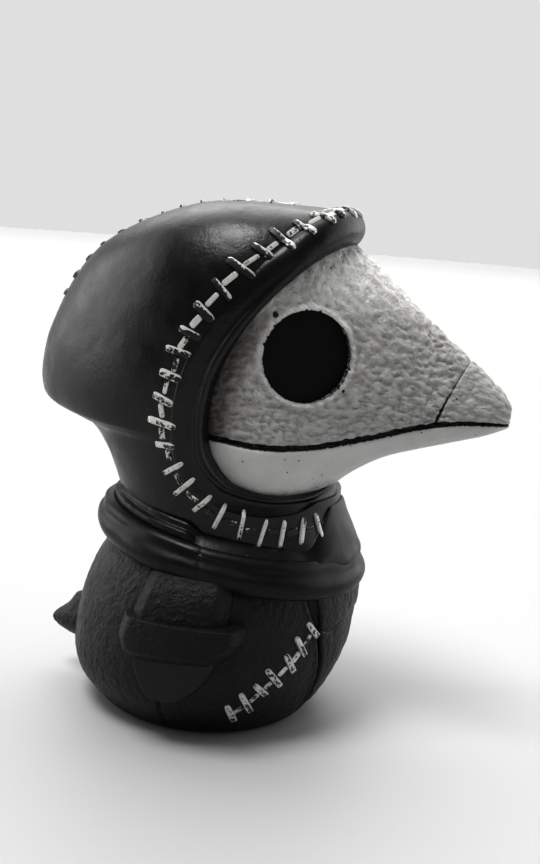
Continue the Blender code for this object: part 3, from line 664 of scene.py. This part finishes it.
def make_panel(name, node, low, high, seed):
    """A plate of the coat's front, with rounded edges and the robe's wrinkles."""
    rise = np.linspace(0.0, 1.0, 70)[:, None]
    share = np.linspace(-1.0, 1.0, 130)[None, :]
    height = low + (high - low) * rise + seam_dip(share) * (rise if high < COAT_TOP_HEIGHT else 1 - rise)
    inset, rounding, thickness = 0.35, 0.8, 1.3
    angle = (coat_edge(height) - math.degrees(inset / ARM_RADIUS)) * share
    side_edge = (1 - np.abs(share)) * np.radians(coat_edge(height)) * ARM_RADIUS
    level_edge = (high - low) * np.minimum(rise, 1 - rise)
    inside = np.clip(np.minimum(side_edge, level_edge) / rounding, 0.0, 1.0)
    top = 0.42 * np.sqrt(np.maximum(0.0, 1 - (1 - inside) ** 2)) - 0.2
    face = on_body(angle, height)
    lift = top + wrinkles(face, seed, 2.4) * inside
    outer = on_body(angle, height, lift)
    inner = on_body(angle, height, -thickness)
    border = np.concatenate((outer, inner[:, ::-1]), axis=1)
    finish_skin(name, border, 50.0, node, ROBE)


# ---------------------------------------------------------------- arms and tail


def rounded_corners(corners, rounding):
    """A closed outline's corners cut round, with points at even distances."""
    corners = [np.array(c, float) for c in corners]
    points = []
    for before, corner, after in zip(corners[-1:] + corners[:-1], corners, corners[1:] + corners[:1]):
        start = corner + unit(before - corner) * min(rounding, np.linalg.norm(before - corner) / 2.2)
        end = corner + unit(after - corner) * min(rounding, np.linalg.norm(after - corner) / 2.2)
        for t in np.linspace(0.0, 1.0, 7):
            points.append((1 - t) ** 2 * start + 2 * t * (1 - t) * corner + t**2 * end)
    return resampled(np.array(points), 220)


def relief(corners, outline, lift, bevels, mirror, grain, seed):
    """Rings of a raised shape on the robe's side. bevels are the widths of its slopes in from each
    straight side of corners."""
    sink = 0.6
    corners = np.array(corners, float)
    middle = outline.mean(axis=0)
    scales = 1 - np.linspace(0.0, 1.0, 46) ** 1.35 * 0.985
    flat = middle + (outline - middle) * scales[:, None, None]
    shape = np.ones(flat.shape[:2])
    for start, end, width in zip(corners, np.roll(corners, -1, axis=0), bevels):
        along = unit(end - start)
        inward = np.array((-along[1], along[0]))
        if ((middle - start) * inward).sum() < 0:
            inward = -inward
        t = np.clip(((flat - start) * inward).sum(-1) / width, 0.0, 1.0)
        shape = np.minimum(shape, 0.14 + 0.86 * (1 - (1 - t) ** 1.35))
    angle = mirror * (ARM_ANGLE - np.degrees(flat[..., 0] / ARM_RADIUS))
    height = flat[..., 1]
    rest = on_body(angle, height)
    rise = lift * shape + grain * fractal(rest, 1.1, 3, seed) * np.minimum(shape * 2, 1.0)
    top = on_body(angle, height, rise)
    foot = on_body(angle[:1], height[:1], -sink)
    back = foot * 0.05 + on_body(angle[-1:].mean(), height[-1:].mean(), -sink) * 0.95
    return np.concatenate((back, foot, top))


def glove_outline():
    turn = full_turn(160)
    up = np.sin(turn)
    across = GLOVE_HALF_WIDTH * signed_power(np.cos(turn), 0.92)
    height = np.where(up < 0, GLOVE_DEPTH * signed_power(up, 1.45), GLOVE_RISE * up)
    return resampled(np.stack((across, height), -1) + GLOVE_MIDDLE, 220)


def make_arms():
    for side_name, mirror in (("right", 1), ("left", -1)):
        hand = glove_outline()
        knuckles = hand[::10]
        bevels = [0.9] * len(knuckles)
        for name, node, corners, outline, lift, widths, grain, paint in (
            ("arm_", "sleeve_", SLEEVE_OUTLINE, rounded_corners(SLEEVE_OUTLINE, 1.0), 2.3, SLEEVE_BEVELS,
             0.10, CLOTH),
            ("turnback_", "cuff_", CUFF_OUTLINE, rounded_corners(CUFF_OUTLINE, 1.2), 3.5, CUFF_BEVELS,
             0.05, CLOTH),
            ("hand_", "glove_", knuckles, hand, 1.9, bevels, 0.0, GLOVE),
        ):
            name += side_name
            grid = relief(corners, outline, lift, widths, mirror, grain, len(name))
            finish_skin(name, grid, 35.0, node + side_name, paint)


def make_tail():
    rows = resampled(smooth_through(TAIL_SECTIONS, 12), 60, closed=False)
    turn = full_turn(90)[None, :]
    behind, height, half_width, half_height = (rows[:, k][:, None] for k in range(4))
    side = half_width * np.cos(turn)
    grid = place(side, -behind, height + half_height * signed_power(np.sin(turn), 1.15))
    nub = 1.1 * bell(behind - 28.6, 1.5) * bell(side, 1.7) * (np.sin(turn) > 0)
    finish_skin("tail_feather", raised(grid, 0.8 * wrinkles(grid, 4.0) + nub), 50.0, "tail", ROBE)


# ---------------------------------------------------------------- cape


def profile(outline):
    """The radii and heights of a smooth closed outline."""
    points = resampled(smooth_through(outline, 8, closed=True), 90)
    return points[None, :, 0], points[None, :, 1]


def draped(turn, radius, height):
    """Places around the neck, higher behind it than in front."""
    forward = radius * np.cos(turn)
    return place(radius * np.sin(turn), forward, height - CAPE_TILT * forward)


def make_cape():
    degrees = np.linspace(-180.0, 180.0, 360, endpoint=False)[:, None]
    turn = np.radians(degrees)
    for name, node, outline in (
        ("cape_folds", "capelet", CAPE_OUTLINE),
        ("cape_roll", "capelet_hem", HEM_OUTLINE),
    ):
        radius, height = profile(outline)
        rest = draped(turn, radius, height)
        wave = fractal(rest, 11.0, 2, 3.0, (1.0, 1.0, 0.55))
        outer = soft_step(radius, 19.6, 20.6)
        grow = CAPE_FOLD * wave * outer
        if node == "capelet":
            crimp = fractal(rest, 2.2, 2, 5.0, (1.0, 1.0, 2.0)) * soft_step(height, 34.0, 36.0)
            under_bib = soft_step(-np.abs(degrees), -BAND_ANGLE - 1.0, -BAND_ANGLE + 15.0)
            grow = grow + 0.14 * crimp - 0.5 * under_bib
            height = height - 2.4 * under_bib * soft_step(height, 32.0, 36.0)
        else:
            crease = 0.32 * bell(height - 32.9 + 0.6 * wave, 0.75)
            mould_line = 0.2 * bell(np.radians(degrees + 86.0) * 24.0, 0.2)
            grow = grow + (HEM_BULGE * bell(degrees, 45.0) - crease - mould_line) * outer
        grid = draped(turn, radius + grow, height + 0.5 * CAPE_FOLD * wave * outer)
        finish_skin(name, grid, 50.0, node, SATIN, loop=True)


def make_bib():
    """The band under the chin, which rises in front and thins out at its two ends."""
    degrees = np.linspace(-BAND_ANGLE, BAND_ANGLE, 260)[:, None]
    turn = np.radians(degrees)
    radius, height = profile(BAND_OUTLINE)
    front_radius, front_height = profile(BIB_FRONT_OUTLINE)
    in_front = soft_step(-np.abs(degrees), -BIB_FRONT_ANGLE - 22.0, -BIB_FRONT_ANGLE + 5.0)
    radius = radius + (front_radius - radius) * in_front
    height = height + (front_height - height) * in_front
    uneven = 0.25 * fractal(draped(turn, radius, height), 9.0, 2, 8.0)
    ends = 0.7 * soft_step(np.abs(degrees), BAND_ANGLE - 10.0, BAND_ANGLE)
    height = height + uneven - ends * soft_step(height, 33.5, 35.5)
    radius = radius - ends * soft_step(radius, 19.5, 21.0)
    finish_skin("bib", draped(turn, radius, height), 50.0, "neck_band", SATIN)


# ---------------------------------------------------------------- hood


def hood_grid():
    """Level rings of the hood under a slightly domed top."""
    rows = resampled(smooth_through(HOOD_SECTIONS, 20), 210, closed=False)
    turn = full_turn(720)
    along, across = np.cos(turn), np.sin(turn)
    rings = []
    for height, front, back, half_width, taper in rows:
        reach = np.where(along > 0, front, back)
        side = half_width * signed_power(across, np.where(along > 0, 1.0, taper))
        rings.append(resampled(place(side, reach * along, height), 260))
    top = rings[0]
    middle = top.mean(axis=0)
    dome = [middle + (top - middle) * s + UP * 0.12 * (1 - s * s) * MM for s in (0.05, 0.3, 0.55, 0.8)]
    return np.stack(dome + rings)


def make_hood():
    """The hood without its opening, with a shallow valley along its crest."""
    grid = hood_grid()
    lift = 0.22 * fractal(grid, 16.0, 2, 1.0) + 0.03 * fractal(grid, 2.4, 2, 2.0)
    lift -= 0.25 * bell(grid[..., 0] / MM, 1.5) * soft_step(grid[..., 2] / MM, 62.0, 68.0)
    return Skin("hood_shell").add(raised(grid, lift)).build(60.0)


def rim_frames(hood_surface, steps):
    """The rolled edge all round: its middle line, the ways out of and along the hood, and its numbers."""
    right = [(-side, *rest) for side, *rest in RIM_POINTS]
    rows = smooth_through(right + list(RIM_POINTS[-2:0:-1]), steps, closed=True)
    middle = place(rows[:, 0], rows[:, 1], rows[:, 2])
    tangent = unit(np.roll(middle, -1, axis=0) - np.roll(middle, 1, axis=0))
    _, out = nearest_on(hood_surface, middle)
    for _ in range(4):
        out = unit(out + np.roll(out, 1, axis=0) + np.roll(out, -1, axis=0))
    out = unit(out - (out * tangent).sum(-1, keepdims=True) * tangent)
    away = np.cross(out, tangent)
    from_face = middle - place(0.0, *FACE_MIDDLE)
    from_face[:, 0] = 0.0
    away *= np.sign((away * from_face).sum(-1, keepdims=True))
    return middle, out, away, rows


def make_rim(hood_surface):
    middle, out, away, rows = rim_frames(hood_surface, 16)
    turn = full_turn(60)
    # Both outlines start at the inner foot and go round by way of the outside.
    band = resampled(smooth_through(BAND_SECTION, 8, closed=True), 60)
    start = math.atan2(BAND_SECTION[0][1], BAND_SECTION[0][0])
    roll = np.stack((np.cos(start - turn), np.sin(start - turn)), -1)
    radius = rows[:, 3][:, None, None] * MM
    share = np.clip(rows[:, 6], 0.0, 1.0)[:, None, None]
    shape = (roll * share + band * (1 - share)) * radius
    shape[..., 0] += rows[:, 8][:, None] * MM
    grid = middle[:, None] + away[:, None] * shape[..., :1] + out[:, None] * shape[..., 1:]
    lift = 0.10 * fractal(grid, 6.0, 2, 6.0) + 0.025 * fractal(grid, 1.5, 2, 7.0)
    return finish_skin("hood_edge", raised(grid, lift, loop=True), 60.0, "hood_rim", GLOSS, loop=True)


def face_outline():
    """The middle line of the hood's edge as (forward, height), the ways from it towards the face's
    middle, and how far outside it the hood ends."""
    rows = smooth_through([(p[1], p[2], p[5]) for p in RIM_POINTS], 6)
    edge = rows[:, :2]
    return edge, unit(FACE_MIDDLE - edge), rows[:, 2:]


def open_hood(hood):
    edge, inward, ends = face_outline()
    edge = edge - inward * ends
    far = [(70.0, edge[-1][1]), (70.0, 100.0), (edge[0][0], 100.0)]
    opening = prism(edge, far)
    subtract(hood, opening)
    bpy.data.objects.remove(opening)
    finish_piece(hood, "hood", GLOSS)


# ---------------------------------------------------------------- mask


def arc(points, count):
    """Points along an arc, closer together towards its ends, without the last end."""
    walked = walked_along(points)
    u = np.arange(count) / count
    return taken_at((u - 0.6 * np.sin(2 * math.pi * u) / (2 * math.pi)) * walked[-1], walked, points)


def mask_grid(mouth):
    """Upright rings of the mask, each starting and turning back at the mouth."""
    rows = smooth_through(MASK_SECTIONS, 20)
    # Rings lie closest together around the tip's seam.
    stretches = ((-5.0, 33.0, 0.36), (33.0, 41.5, 0.16), (41.6, 47.1, 0.25))
    at = np.concatenate([np.arange(*stretch) for stretch in stretches])
    turn = full_turn(1440)
    across, up = np.cos(turn), np.sin(turn)
    rings = []
    for forward, top, bottom, half_width, widest, above, below in taken_at(at, rows[:, 0], rows):
        power = 2 / np.where(up >= 0, above, below)
        side = half_width * signed_power(across, power)
        reach = np.where(up >= 0, top - widest, widest - bottom)
        height = widest + reach * signed_power(up, power)
        split = max(np.interp(forward, mouth[:, 0], mouth[:, 1]), bottom + 0.2 * (widest - bottom))
        ring = place(side, forward, height)
        first = int(np.flatnonzero((height >= split) & (np.roll(height, 1) < split))[0])
        ring = np.roll(ring, -first, axis=0)
        over = int((height >= split).sum())
        corners = []
        for a, b in ((ring[-1], ring[0]), (ring[over - 1], ring[over])):
            corners.append(a + (b - a) * (split * MM - a[2]) / (b[2] - a[2]))
        upper = np.concatenate((corners[:1], ring[:over], corners[1:]))
        lower = np.concatenate((corners[1:], ring[over:], corners[:1]))
        rings.append(np.concatenate((arc(upper, 240), arc(lower, 110))))
    return np.stack(rings)


def eye_frame(mirror):
    """The middle of an eye, the way that it looks, and the level way across it."""
    yaw = math.radians(EYE_YAW)
    outward = np.array((mirror * math.cos(yaw), -math.sin(yaw), 0.0))
    side, forward, height = EYE_CENTRE
    return place(mirror * side, forward, height), outward, np.cross(UP, outward)


def eye_ring(turn, level):
    """Ways from an eye's middle to its edge."""
    return np.cos(turn)[:, None] * level + np.sin(turn)[:, None] * UP


def sculpted_mask():
    """The mask's skin with its creases, and the numbers that its paint uses."""
    mouth = smooth_through(MOUTH_LINE, 8)
    seam = smooth_through(TIP_SEAM, 6)
    grid = mask_grid(mouth)
    forward = -grid[..., 1] / MM - NECK_FORWARD
    flat = np.stack((forward, grid[..., 2] / MM), -1)
    wobble = 0.10 * fractal(grid, 2.2, 2, 9.0)
    mouth_distance, mouth_side = distance_to_line(flat, mouth)
    mouth_width = np.interp(forward, (0.0, 20.0, 36.0, 47.0), (0.50, 0.46, 0.40, 0.30))
    is_jaw = soft_step(-mouth_side * mouth_distance, -0.1, 0.1)
    seam_distance = distance_to_line(flat, seam)[0] + 3.0 * is_jaw
    rim_distance, _ = distance_to_line(flat, face_outline()[0])

    pebbles = fractal(grid, 1.0, 4, 0.0, (1.0, 1.25, 0.8))
    plateau = np.clip(0.55 + 1.3 * pebbles, 0.0, 1.0)
    tip_share = soft_step(forward, 36.0, 39.0)
    depth = 0.44 * (1 - is_jaw) * (1 - 0.4 * tip_share) + 0.015
    lift = depth * (plateau - 1) + 0.16 * fractal(grid, 5.0, 2, 3.0) * (1 - is_jaw)
    lift -= 1.6 * mouth_width * bell(mouth_distance, mouth_width)
    lift -= 0.28 * bell(seam_distance + wobble, 0.28)
    seam_width = np.interp(flat[..., 1], (56.0, 60.0, 68.0), (0.20, 0.10, -0.04))
    dark = np.minimum(mouth_distance - mouth_width, seam_distance + wobble - seam_width)
    lip = np.zeros(forward.shape)
    for mirror in (-1, 1):
        centre, look, level = eye_frame(mirror)
        offset = grid - centre
        off_axis = offset - (offset * look).sum(-1, keepdims=True) * look
        from_axis = np.linalg.norm(off_axis, axis=-1) / MM
        near = (np.sign(grid[..., 0]) == mirror) & (from_axis < EYE_RADIUS + 4)
        lift += 0.4 * near * bell(from_axis - EYE_RADIUS - 0.55, 0.42)
        lip += near * bell(from_axis - EYE_RADIUS - 0.5, 0.5)
        if mirror < 0:
            for up, along, size in EYE_CHIPS:
                spot = (UP * up + level * along) * MM
                from_spot = np.linalg.norm(offset - spot, axis=-1) / MM
                aside = np.linalg.norm(off_axis - spot, axis=-1) / MM
                hole = np.where(near, aside, from_spot)
                lift -= 0.4 * bell(hole, size)
                dark = np.minimum(dark, hole - size + 3 * np.abs(wobble))
    # The number below darkens the mask near the hood's edge and towards its back, partly the real dark
    # wash and partly painted shade. It is smaller on the brow, and below zero on the brow and the eye
    # sockets' lips, where it paints highlights.
    on_brow = soft_step(flat[..., 1], 68.0, 78.0)
    wash_and_painted_light = (0.95 - 0.75 * on_brow) * bell(np.maximum(rim_distance - 1.5, 0.0), 4.2) * (1 - is_jaw)
    wash_and_painted_light += 0.55 * bell(np.maximum(rim_distance - 1.5, 0.0), 1.3) * is_jaw
    wash_and_painted_light += 0.16 * soft_step(-forward, -22.0, -4.0) * (1 - is_jaw)
    wash_and_painted_light = wash_and_painted_light * (1 - 0.8 * lip) - 0.3 * lip - 0.4 * on_brow * (1 - is_jaw)
    # Painted shade in the creases between the pebbles.
    crease = (1 - plateau) * (1 - is_jaw) * (1 - 0.8 * lip)
    numbers = {"crease": crease, "wash_and_painted_light": wash_and_painted_light, "groove": dark}
    return raised(grid, lift), numbers, mouth, seam


def socket(mirror):
    """A cutter for an eye's hole, whose edge has a few nicks."""
    centre, look, level = eye_frame(mirror)
    turn = full_turn(240)
    uneven = np.array([noise.noise((2 * math.cos(t) + mirror, 2 * math.sin(t), 0.0)) for t in turn])
    nicks = np.array([noise.noise((16 * math.cos(t) + mirror, 16 * math.sin(t), 2.0)) for t in turn])
    radius = (EYE_RADIUS + 0.08 * uneven + 0.9 * np.maximum(nicks - 0.25, 0.0))[:, None] * MM
    rim = centre + eye_ring(turn, level) * radius
    return Skin("cutter").add(np.stack([rim + look * depth * MM for depth in (-EYE_SUNK, 6.0)])).build()


def make_eye(side_name, mirror):
    """A slightly domed lens that reaches a little under the mask around its socket."""
    centre, look, level = eye_frame(mirror)
    share = np.linspace(1.0, 0.02, 34)[:, None, None]
    depth = -EYE_SUNK + 0.28 * (1 - share**2)
    top = centre + (look * depth + eye_ring(full_turn(120), level) * (EYE_RADIUS + 0.25) * share) * MM
    rough = 0.035 * fractal(top, 1.4, 3, 2.0)
    top = top + look * rough[..., None] * MM
    back = np.stack([top[0] - look * 1.0 * MM, top[0] - look * 0.02 * MM])
    finish_skin("lens_" + side_name, np.concatenate((back, top)), 40.0, "eye_" + side_name, LENS)


def make_mask():
    """Cuts the sculpted skin into the face, the jaw and the tip, with narrow gaps between them."""
    grid, numbers, mouth, seam = sculpted_mask()
    edge, inward, ends = face_outline()
    edge = edge - inward * np.maximum(ends - 0.6, 0.0)
    tip_side, face_side = seam + (0.05, 0.0), seam - (0.05, 0.0)
    behind_face = prism(edge, [(edge[-1][0], 0.0), (-60.0, 0.0), (-60.0, 100.0), (edge[0][0], 100.0)])
    below = prism(mouth + (0.0, 0.06), [(70.0, 0.0), (-20.0, 0.0)])
    above = prism(mouth - (0.0, 0.06), [(70.0, 110.0), (-20.0, 110.0)])
    behind = [(tip_side[-1][0], 0.0), (-20.0, 0.0), (-20.0, 120.0), (tip_side[0][0], 120.0)]
    behind_tip = prism(tip_side, behind)
    ahead_of_tip = prism(face_side, [(70.0, 40.0), (70.0, 120.0)])
    sockets = [socket(-1), socket(1)]
    for name, node, cutters, paint in (
        ("mask_face", "beak_upper", [behind_face, below, ahead_of_tip, *sockets], MASK),
        ("mask_jaw", "beak_lower", [behind_face, above], JAW),
        ("mask_tip", "beak_tip", [behind_tip, below], TIP),
    ):
        piece = Skin(name).add(grid, **numbers).build(60.0)
        subtract(piece, *cutters)
        finish_piece(piece, node, paint)
    for cutter in (behind_face, below, above, behind_tip, ahead_of_tip, *sockets):
        bpy.data.objects.remove(cutter)
    make_eye("right", -1)
    make_eye("left", 1)


# ---------------------------------------------------------------- stitching

# A stitch's cross-section, as (across in half widths, up in thicknesses), and how near an edge it is.
BAR_SECTION = np.array(
    (
        (-1.0, -1.2), (-1.0, 0.55), (-0.86, 0.92), (-0.45, 1.0),
        (0.45, 1.0), (0.86, 0.92), (1.0, 0.55), (1.0, -1.2),
    )
)
EDGE_SHARE = np.array((0.8, 1.0, 0.9, 0.0, 0.0, 0.9, 1.0, 0.8))


def ribbon(skin, surface, start, end, normal, size, silver, edge_silver, upper_silver):
    """A flat ribbon of (half width, thickness) laid on a surface from start to end, blunt at its ends.
    silver is the paint's share at the two ends, edge_silver adds to it along both edges, and
    upper_silver moves it from the lower edge to the upper one."""
    share = np.linspace(0.0, 1.0, 13)
    line = start + (end - start) * share[:, None]
    sideways = unit(np.cross(normal, end - start))
    blunt = (1 - np.abs(2 * share - 1) ** 7) ** 0.5
    upper = np.sign(sideways[2]) * BAR_SECTION[:, 0] * upper_silver
    rows, values = [], []
    for t, point, full in zip(share, line, blunt):
        origin = Vector(point + normal * 5 * MM)
        hit, face_normal, _, _ = surface.ray_cast(origin, Vector(-normal), 12 * MM)
        if hit is None:
            hit, face_normal = Vector(point), Vector(normal)
        width = sideways * size[0] * (0.55 + 0.45 * full) * MM
        height = unit(np.array(face_normal) + normal) * size[1] * (0.15 + 0.85 * full) * MM
        rows.append(np.array(hit) + BAR_SECTION[:, :1] * width + BAR_SECTION[:, 1:] * height)
        values.append(silver[0] + (silver[1] - silver[0]) * t + edge_silver * EDGE_SHARE + upper)
    skin.add(np.stack(rows), silver=np.stack(values))


def stitches(name, node, surface, seam, closed, length, mess, paint, seed):
    """Bars across a seam and ribbons along it. A seam is places, ways out, ways across and the distance
    to the next bar. mess is how far the bars turn and how much their lengths differ. paint gives a
    place's silver on bars, on ribbons and towards upper edges, and the bars' half width, or nothing
    where the seam is hidden."""
    rng = random.Random(seed)
    *columns, pitch = seam
    line = np.column_stack((*columns, np.broadcast_to(pitch, len(columns[0]))))
    if closed:
        line = np.concatenate((line, line[:1]))
    steps = np.linalg.norm(np.diff(line[:, :3], axis=0), axis=1) / MM
    walked = np.concatenate(((0.0,), np.cumsum(steps / ((line[1:, 9] + line[:-1, 9]) / 2))))
    count = round(walked[-1])

    def at(bar):
        bar = bar % count if closed else bar
        row = taken_at(bar * walked[-1] / count, walked, line)
        return row[:3], unit(row[3:6]), unit(row[6:9])

    skin = Skin(name)
    for i in range(count):
        centre = i + 0.5 + rng.uniform(-0.1, 0.1)
        point, out, across = at(centre)
        along = np.cross(across, out)
        across = unit(across + along * rng.uniform(-mess, mess))
        half = length / 2 * rng.uniform(1 - 0.6 * mess, 1 + 0.6 * mess) * MM
        point = point + across * rng.uniform(-0.25, 0.25) * MM
        painted = paint(point)
        if painted is None:
            continue
        on_bars, on_ribbons, upper, half_width = painted
        lean = rng.uniform(-0.3, 0.3)
        bar_size = (half_width * rng.uniform(0.85, 1.15), rng.uniform(0.42, 0.58))
        ends = (point - across * half, point + across * half)
        ribbon(skin, surface, *ends, out, bar_size, (on_bars - lean, on_bars + lean), 0.30, upper)
        if i + 1 == count and not closed:
            continue
        first, _, _ = at(centre + 0.2)
        last, _, _ = at(i + 1.3)
        shift = across * rng.uniform(-0.35, 0.35) * MM
        slip = across * rng.uniform(-0.35, 0.35) * MM
        ribbon_size = (rng.uniform(0.36, 0.58), rng.uniform(0.2, 0.3))
        shares = (on_ribbons + rng.uniform(-0.2, 0.2), on_ribbons + rng.uniform(-0.2, 0.2))
        ribbon(skin, surface, first + shift, last + slip, out, ribbon_size, shares, 0.12, 0.0)
    finish_piece(skin.build(35.0), node, SILVER)


def rim_seam(hood_surface):
    middle, outward, away, rows = rim_frames(hood_surface, 8)
    spots = middle + (away * rows[:, 4:5] + outward * rows[:, 3:4]) * MM
    points, normals = nearest_on(hood_surface, spots)
    return points, unit(normals + outward), away, rows[:, 7]


def crest_seam(hood_surface):
    forward, height = smooth_through(CREST_SEAM, 6).T
    points, normals = nearest_on(hood_surface, place(0.0, forward, height))
    points[:, 0] = normals[:, 0] = 0.0
    return points, unit(normals), np.broadcast_to((1.0, 0.0, 0.0), points.shape), CREST_PITCH


def tear_seam():
    angle, height = smooth_through(TEAR_SEAM, 6).T
    points = on_body(angle, height)
    rise = on_body(angle, height + 0.4) - on_body(angle, height - 0.4)
    sweep = on_body(angle + 0.5, height) - on_body(angle - 0.5, height)
    out = unit(np.cross(rise, sweep))
    out *= np.sign((out * points)[:, :2].sum(axis=1, keepdims=True))
    return points, out, unit(np.cross(out, np.gradient(points, axis=0))), TEAR_PITCH


# Silver beside the rolled edge: (height, share on bars, on ribbons, towards upper edges, half width).
RIM_SILVER = np.array(
    (
        (36.0, 0.68, 0.16, 0.0, 0.34),
        (44.0, 0.64, 0.34, 0.0, 0.38),
        (52.0, 0.54, 0.48, 0.05, 0.48),
        (60.0, 0.46, 0.55, 0.15, 0.58),
        (70.0, 0.24, 0.64, 0.30, 0.64),
        (80.0, 0.18, 0.70, 0.42, 0.62),
        (86.0, 0.40, 0.74, 0.36, 0.56),
        (90.0, 0.56, 0.74, 0.30, 0.54),
    )
)


def make_stitching(hood, head):
    """Stitches on the surface of the head. The hood's own surface before it is opened guides them."""

    def rim_silver(point):
        side, _, height = point / MM
        if abs(side) < COVERED_HALF_WIDTH and height < COVERED_HEIGHT:
            return None
        return taken_at(height, RIM_SILVER[:, 0], RIM_SILVER[:, 1:])

    def crest_silver(point):
        share = np.interp(point[1] / MM, (-12.0, 4.0, 20.0), (0.6, 0.45, 0.0))
        return share, share - 0.1, 0.0, 0.54

    def tear_silver(_):
        return 0.5, 0.46, 0.0, 0.56

    robe = surface_of(bpy.data.objects["robe"])
    for name, node, surface, seam, closed, length, mess, paint, seed in (
        ("edge_stitches", "rim_stitching", head, rim_seam(hood), True, 4.7, 0.26, rim_silver, 11),
        ("crest_stitches", "crest_stitching", head, crest_seam(hood), False, 3.7, 0.18, crest_silver, 12),
        ("tear_stitches", "tear_stitching", robe, tear_seam(), False, 4.6, 0.5, tear_silver, 13),
    ):
        stitches(name, node, surface, seam, closed, length, mess, paint, seed)


# ---------------------------------------------------------------- camera, floor and light

# The studio's far wall: the way to it, and how bright it and the dim wall across from it are.
FAR_WALL = ((0.93, 0.33, 0.16), 0.80, 0.18)
CEILING_LEVEL = 0.40
# Soft boxes beyond the picture: (way to it, cosine of its reach, brightness).
SOFT_BOXES = (
    ((0.58, 0.22, 0.79), 0.76, 2.8),
    ((0.00, 0.96, 0.22), 0.82, 2.6),
    ((0.55, -0.80, 0.10), 0.60, 1.7),
)
# The large soft lamp over the figure: the way to it, how wide it looks in degrees, and its strength.
LAMP = ((-0.26, 0.22, 0.94), 24.0, 2.6)
# The camera, in degrees and metres: how far ahead of the figure's right side it stands, how far it looks
# down, leans and looks aside, and its distance from the neck's axis and height.
CAMERA_AHEAD = 16.0
CAMERA_DIP = 11.4
CAMERA_LEAN = 4.5
CAMERA_ASIDE = 1.5275
CAMERA_DISTANCE = 0.209
CAMERA_HEIGHT = 0.0922


def make_camera():
    """The camera stands on the figure's right, a little ahead of it, and leans slightly."""
    angles = (CAMERA_AHEAD, CAMERA_DIP, CAMERA_LEAN, CAMERA_ASIDE)
    ahead, pitch, roll, turn = (math.radians(angle) for angle in angles)
    away = Vector((-math.cos(ahead), -math.sin(ahead), 0.0))
    level_right = (-away).cross(Vector(UP))
    look = -away * math.cos(turn) + level_right * math.sin(turn)
    right = look.cross(Vector(UP))
    look = look * math.cos(pitch) - Vector(UP) * math.sin(pitch)
    up = right.cross(look)
    leant_right = right * math.cos(roll) + up * math.sin(roll)
    leant_up = up * math.cos(roll) - right * math.sin(roll)
    spot = away * CAMERA_DISTANCE + Vector((0.0, -NECK_FORWARD * MM, CAMERA_HEIGHT))
    data = bpy.data.cameras.new("camera")
    data.sensor_fit = "VERTICAL"
    data.sensor_height = 36.0
    data.sensor_width = 36.0
    data.lens = 50.0
    data.clip_start = 0.01
    data.clip_end = 20.0
    camera = bpy.data.objects.new("camera", data)
    turned = Matrix((leant_right, leant_up, -look)).transposed().to_4x4()
    camera.matrix_world = Matrix.Translation(spot) @ turned
    bpy.context.scene.collection.objects.link(camera)
    bpy.context.scene.camera = camera


def make_floor():
    """A round pale table top, which is a flat sheet, painted darker towards its far edge as painted
    shade.
    """
    turn = full_turn(96)
    around = np.stack((np.cos(turn), np.sin(turn), 0 * turn), -1)
    skin = Skin("floor").add(np.linspace(0.01, 1.8, 12)[:, None, None] * around)
    # The last faces are the outermost ring's cap, which would lie under the sheet.
    skin.faces = skin.faces[: -len(turn)]
    floor = skin.build(60.0)
    material, places = new_material("floor_white", Roughness=0.6)
    cloud = lumps(places, 90.0, 3.0)
    near = blended(cloud, (0.42, 0.42, 0.42), (0.435, 0.435, 0.435))
    length = put(material.node_tree, "ShaderNodeVectorMath", {0: places}, operation="LENGTH")
    # Painted shade: the floor darkens from 1.2 m out to its edge.
    far = spread(length.outputs["Value"], 1.2, 1.8)
    wire(material, Base_Color=blended(far, near, (0.34, 0.34, 0.34)))
    floor.data.materials.append(material)


def make_lamp():
    way, width, strength = LAMP
    data = bpy.data.lights.new("overhead_lamp", "SUN")
    data.angle = math.radians(width)
    data.energy = strength
    lamp = bpy.data.objects.new("overhead_lamp", data)
    lamp.location = (0.0, 0.0, 0.3)
    lamp.rotation_euler = Vector(way).to_track_quat("Z", "Y").to_euler()
    bpy.context.scene.collection.objects.link(lamp)


def make_light():
    """A studio with a bright far wall, three soft boxes out of view, and a dim near side."""
    world = bpy.data.worlds.new("studio")
    bpy.context.scene.world = world
    world.use_nodes = True
    tree = world.node_tree
    direction = put(tree, "ShaderNodeTexCoord").outputs["Generated"]

    def toward(way, low, high, to_low, to_high):
        inputs = {0: direction, 1: tuple(Vector(way).normalized())}
        cosine = put(tree, "ShaderNodeVectorMath", inputs, operation="DOT_PRODUCT").outputs["Value"]
        return spread(cosine, low, high, to_low, to_high)

    way, bright, dim = FAR_WALL
    level = toward(way, -0.5, 0.75, dim, bright)
    level = compute("MAXIMUM", level, toward(UP, 0.2, 0.9, 0.0, CEILING_LEVEL))
    for way, reach, bright in SOFT_BOXES:
        level = compute("ADD", level, toward(way, reach, 0.97, 0.0, bright))
    feed(tree.nodes["Background"].inputs["Strength"], level)
    feed(tree.nodes["Background"].inputs["Color"], (1.0, 1.0, 1.0))
    bpy.context.scene.view_settings.view_transform = "Standard"
    bpy.context.scene.view_settings.gamma = 0.74


# ---------------------------------------------------------------- all together

make_camera()
make_robe()
make_panel("coat_belly", "robe_belly_panel", COAT_EDGE_HEIGHT - 1.2, COAT_SEAM_HEIGHT - 0.25, 11.0)
make_panel("coat_chest", "robe_chest_panel", COAT_SEAM_HEIGHT + 0.25, COAT_TOP_HEIGHT, 12.0)
make_arms()
make_tail()
make_cape()
make_bib()
hood_shell = make_hood()
uncut_hood = surface_of(hood_shell)
hood_edge = make_rim(uncut_hood)
open_hood(hood_shell)
make_mask()
make_stitching(uncut_hood, surface_of(hood_shell, hood_edge))
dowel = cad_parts["neck_dowel"]
dowel.data.materials.clear()
dowel.data.materials.append(wood("dowel_wood"))
make_floor()
make_lamp()
make_light()
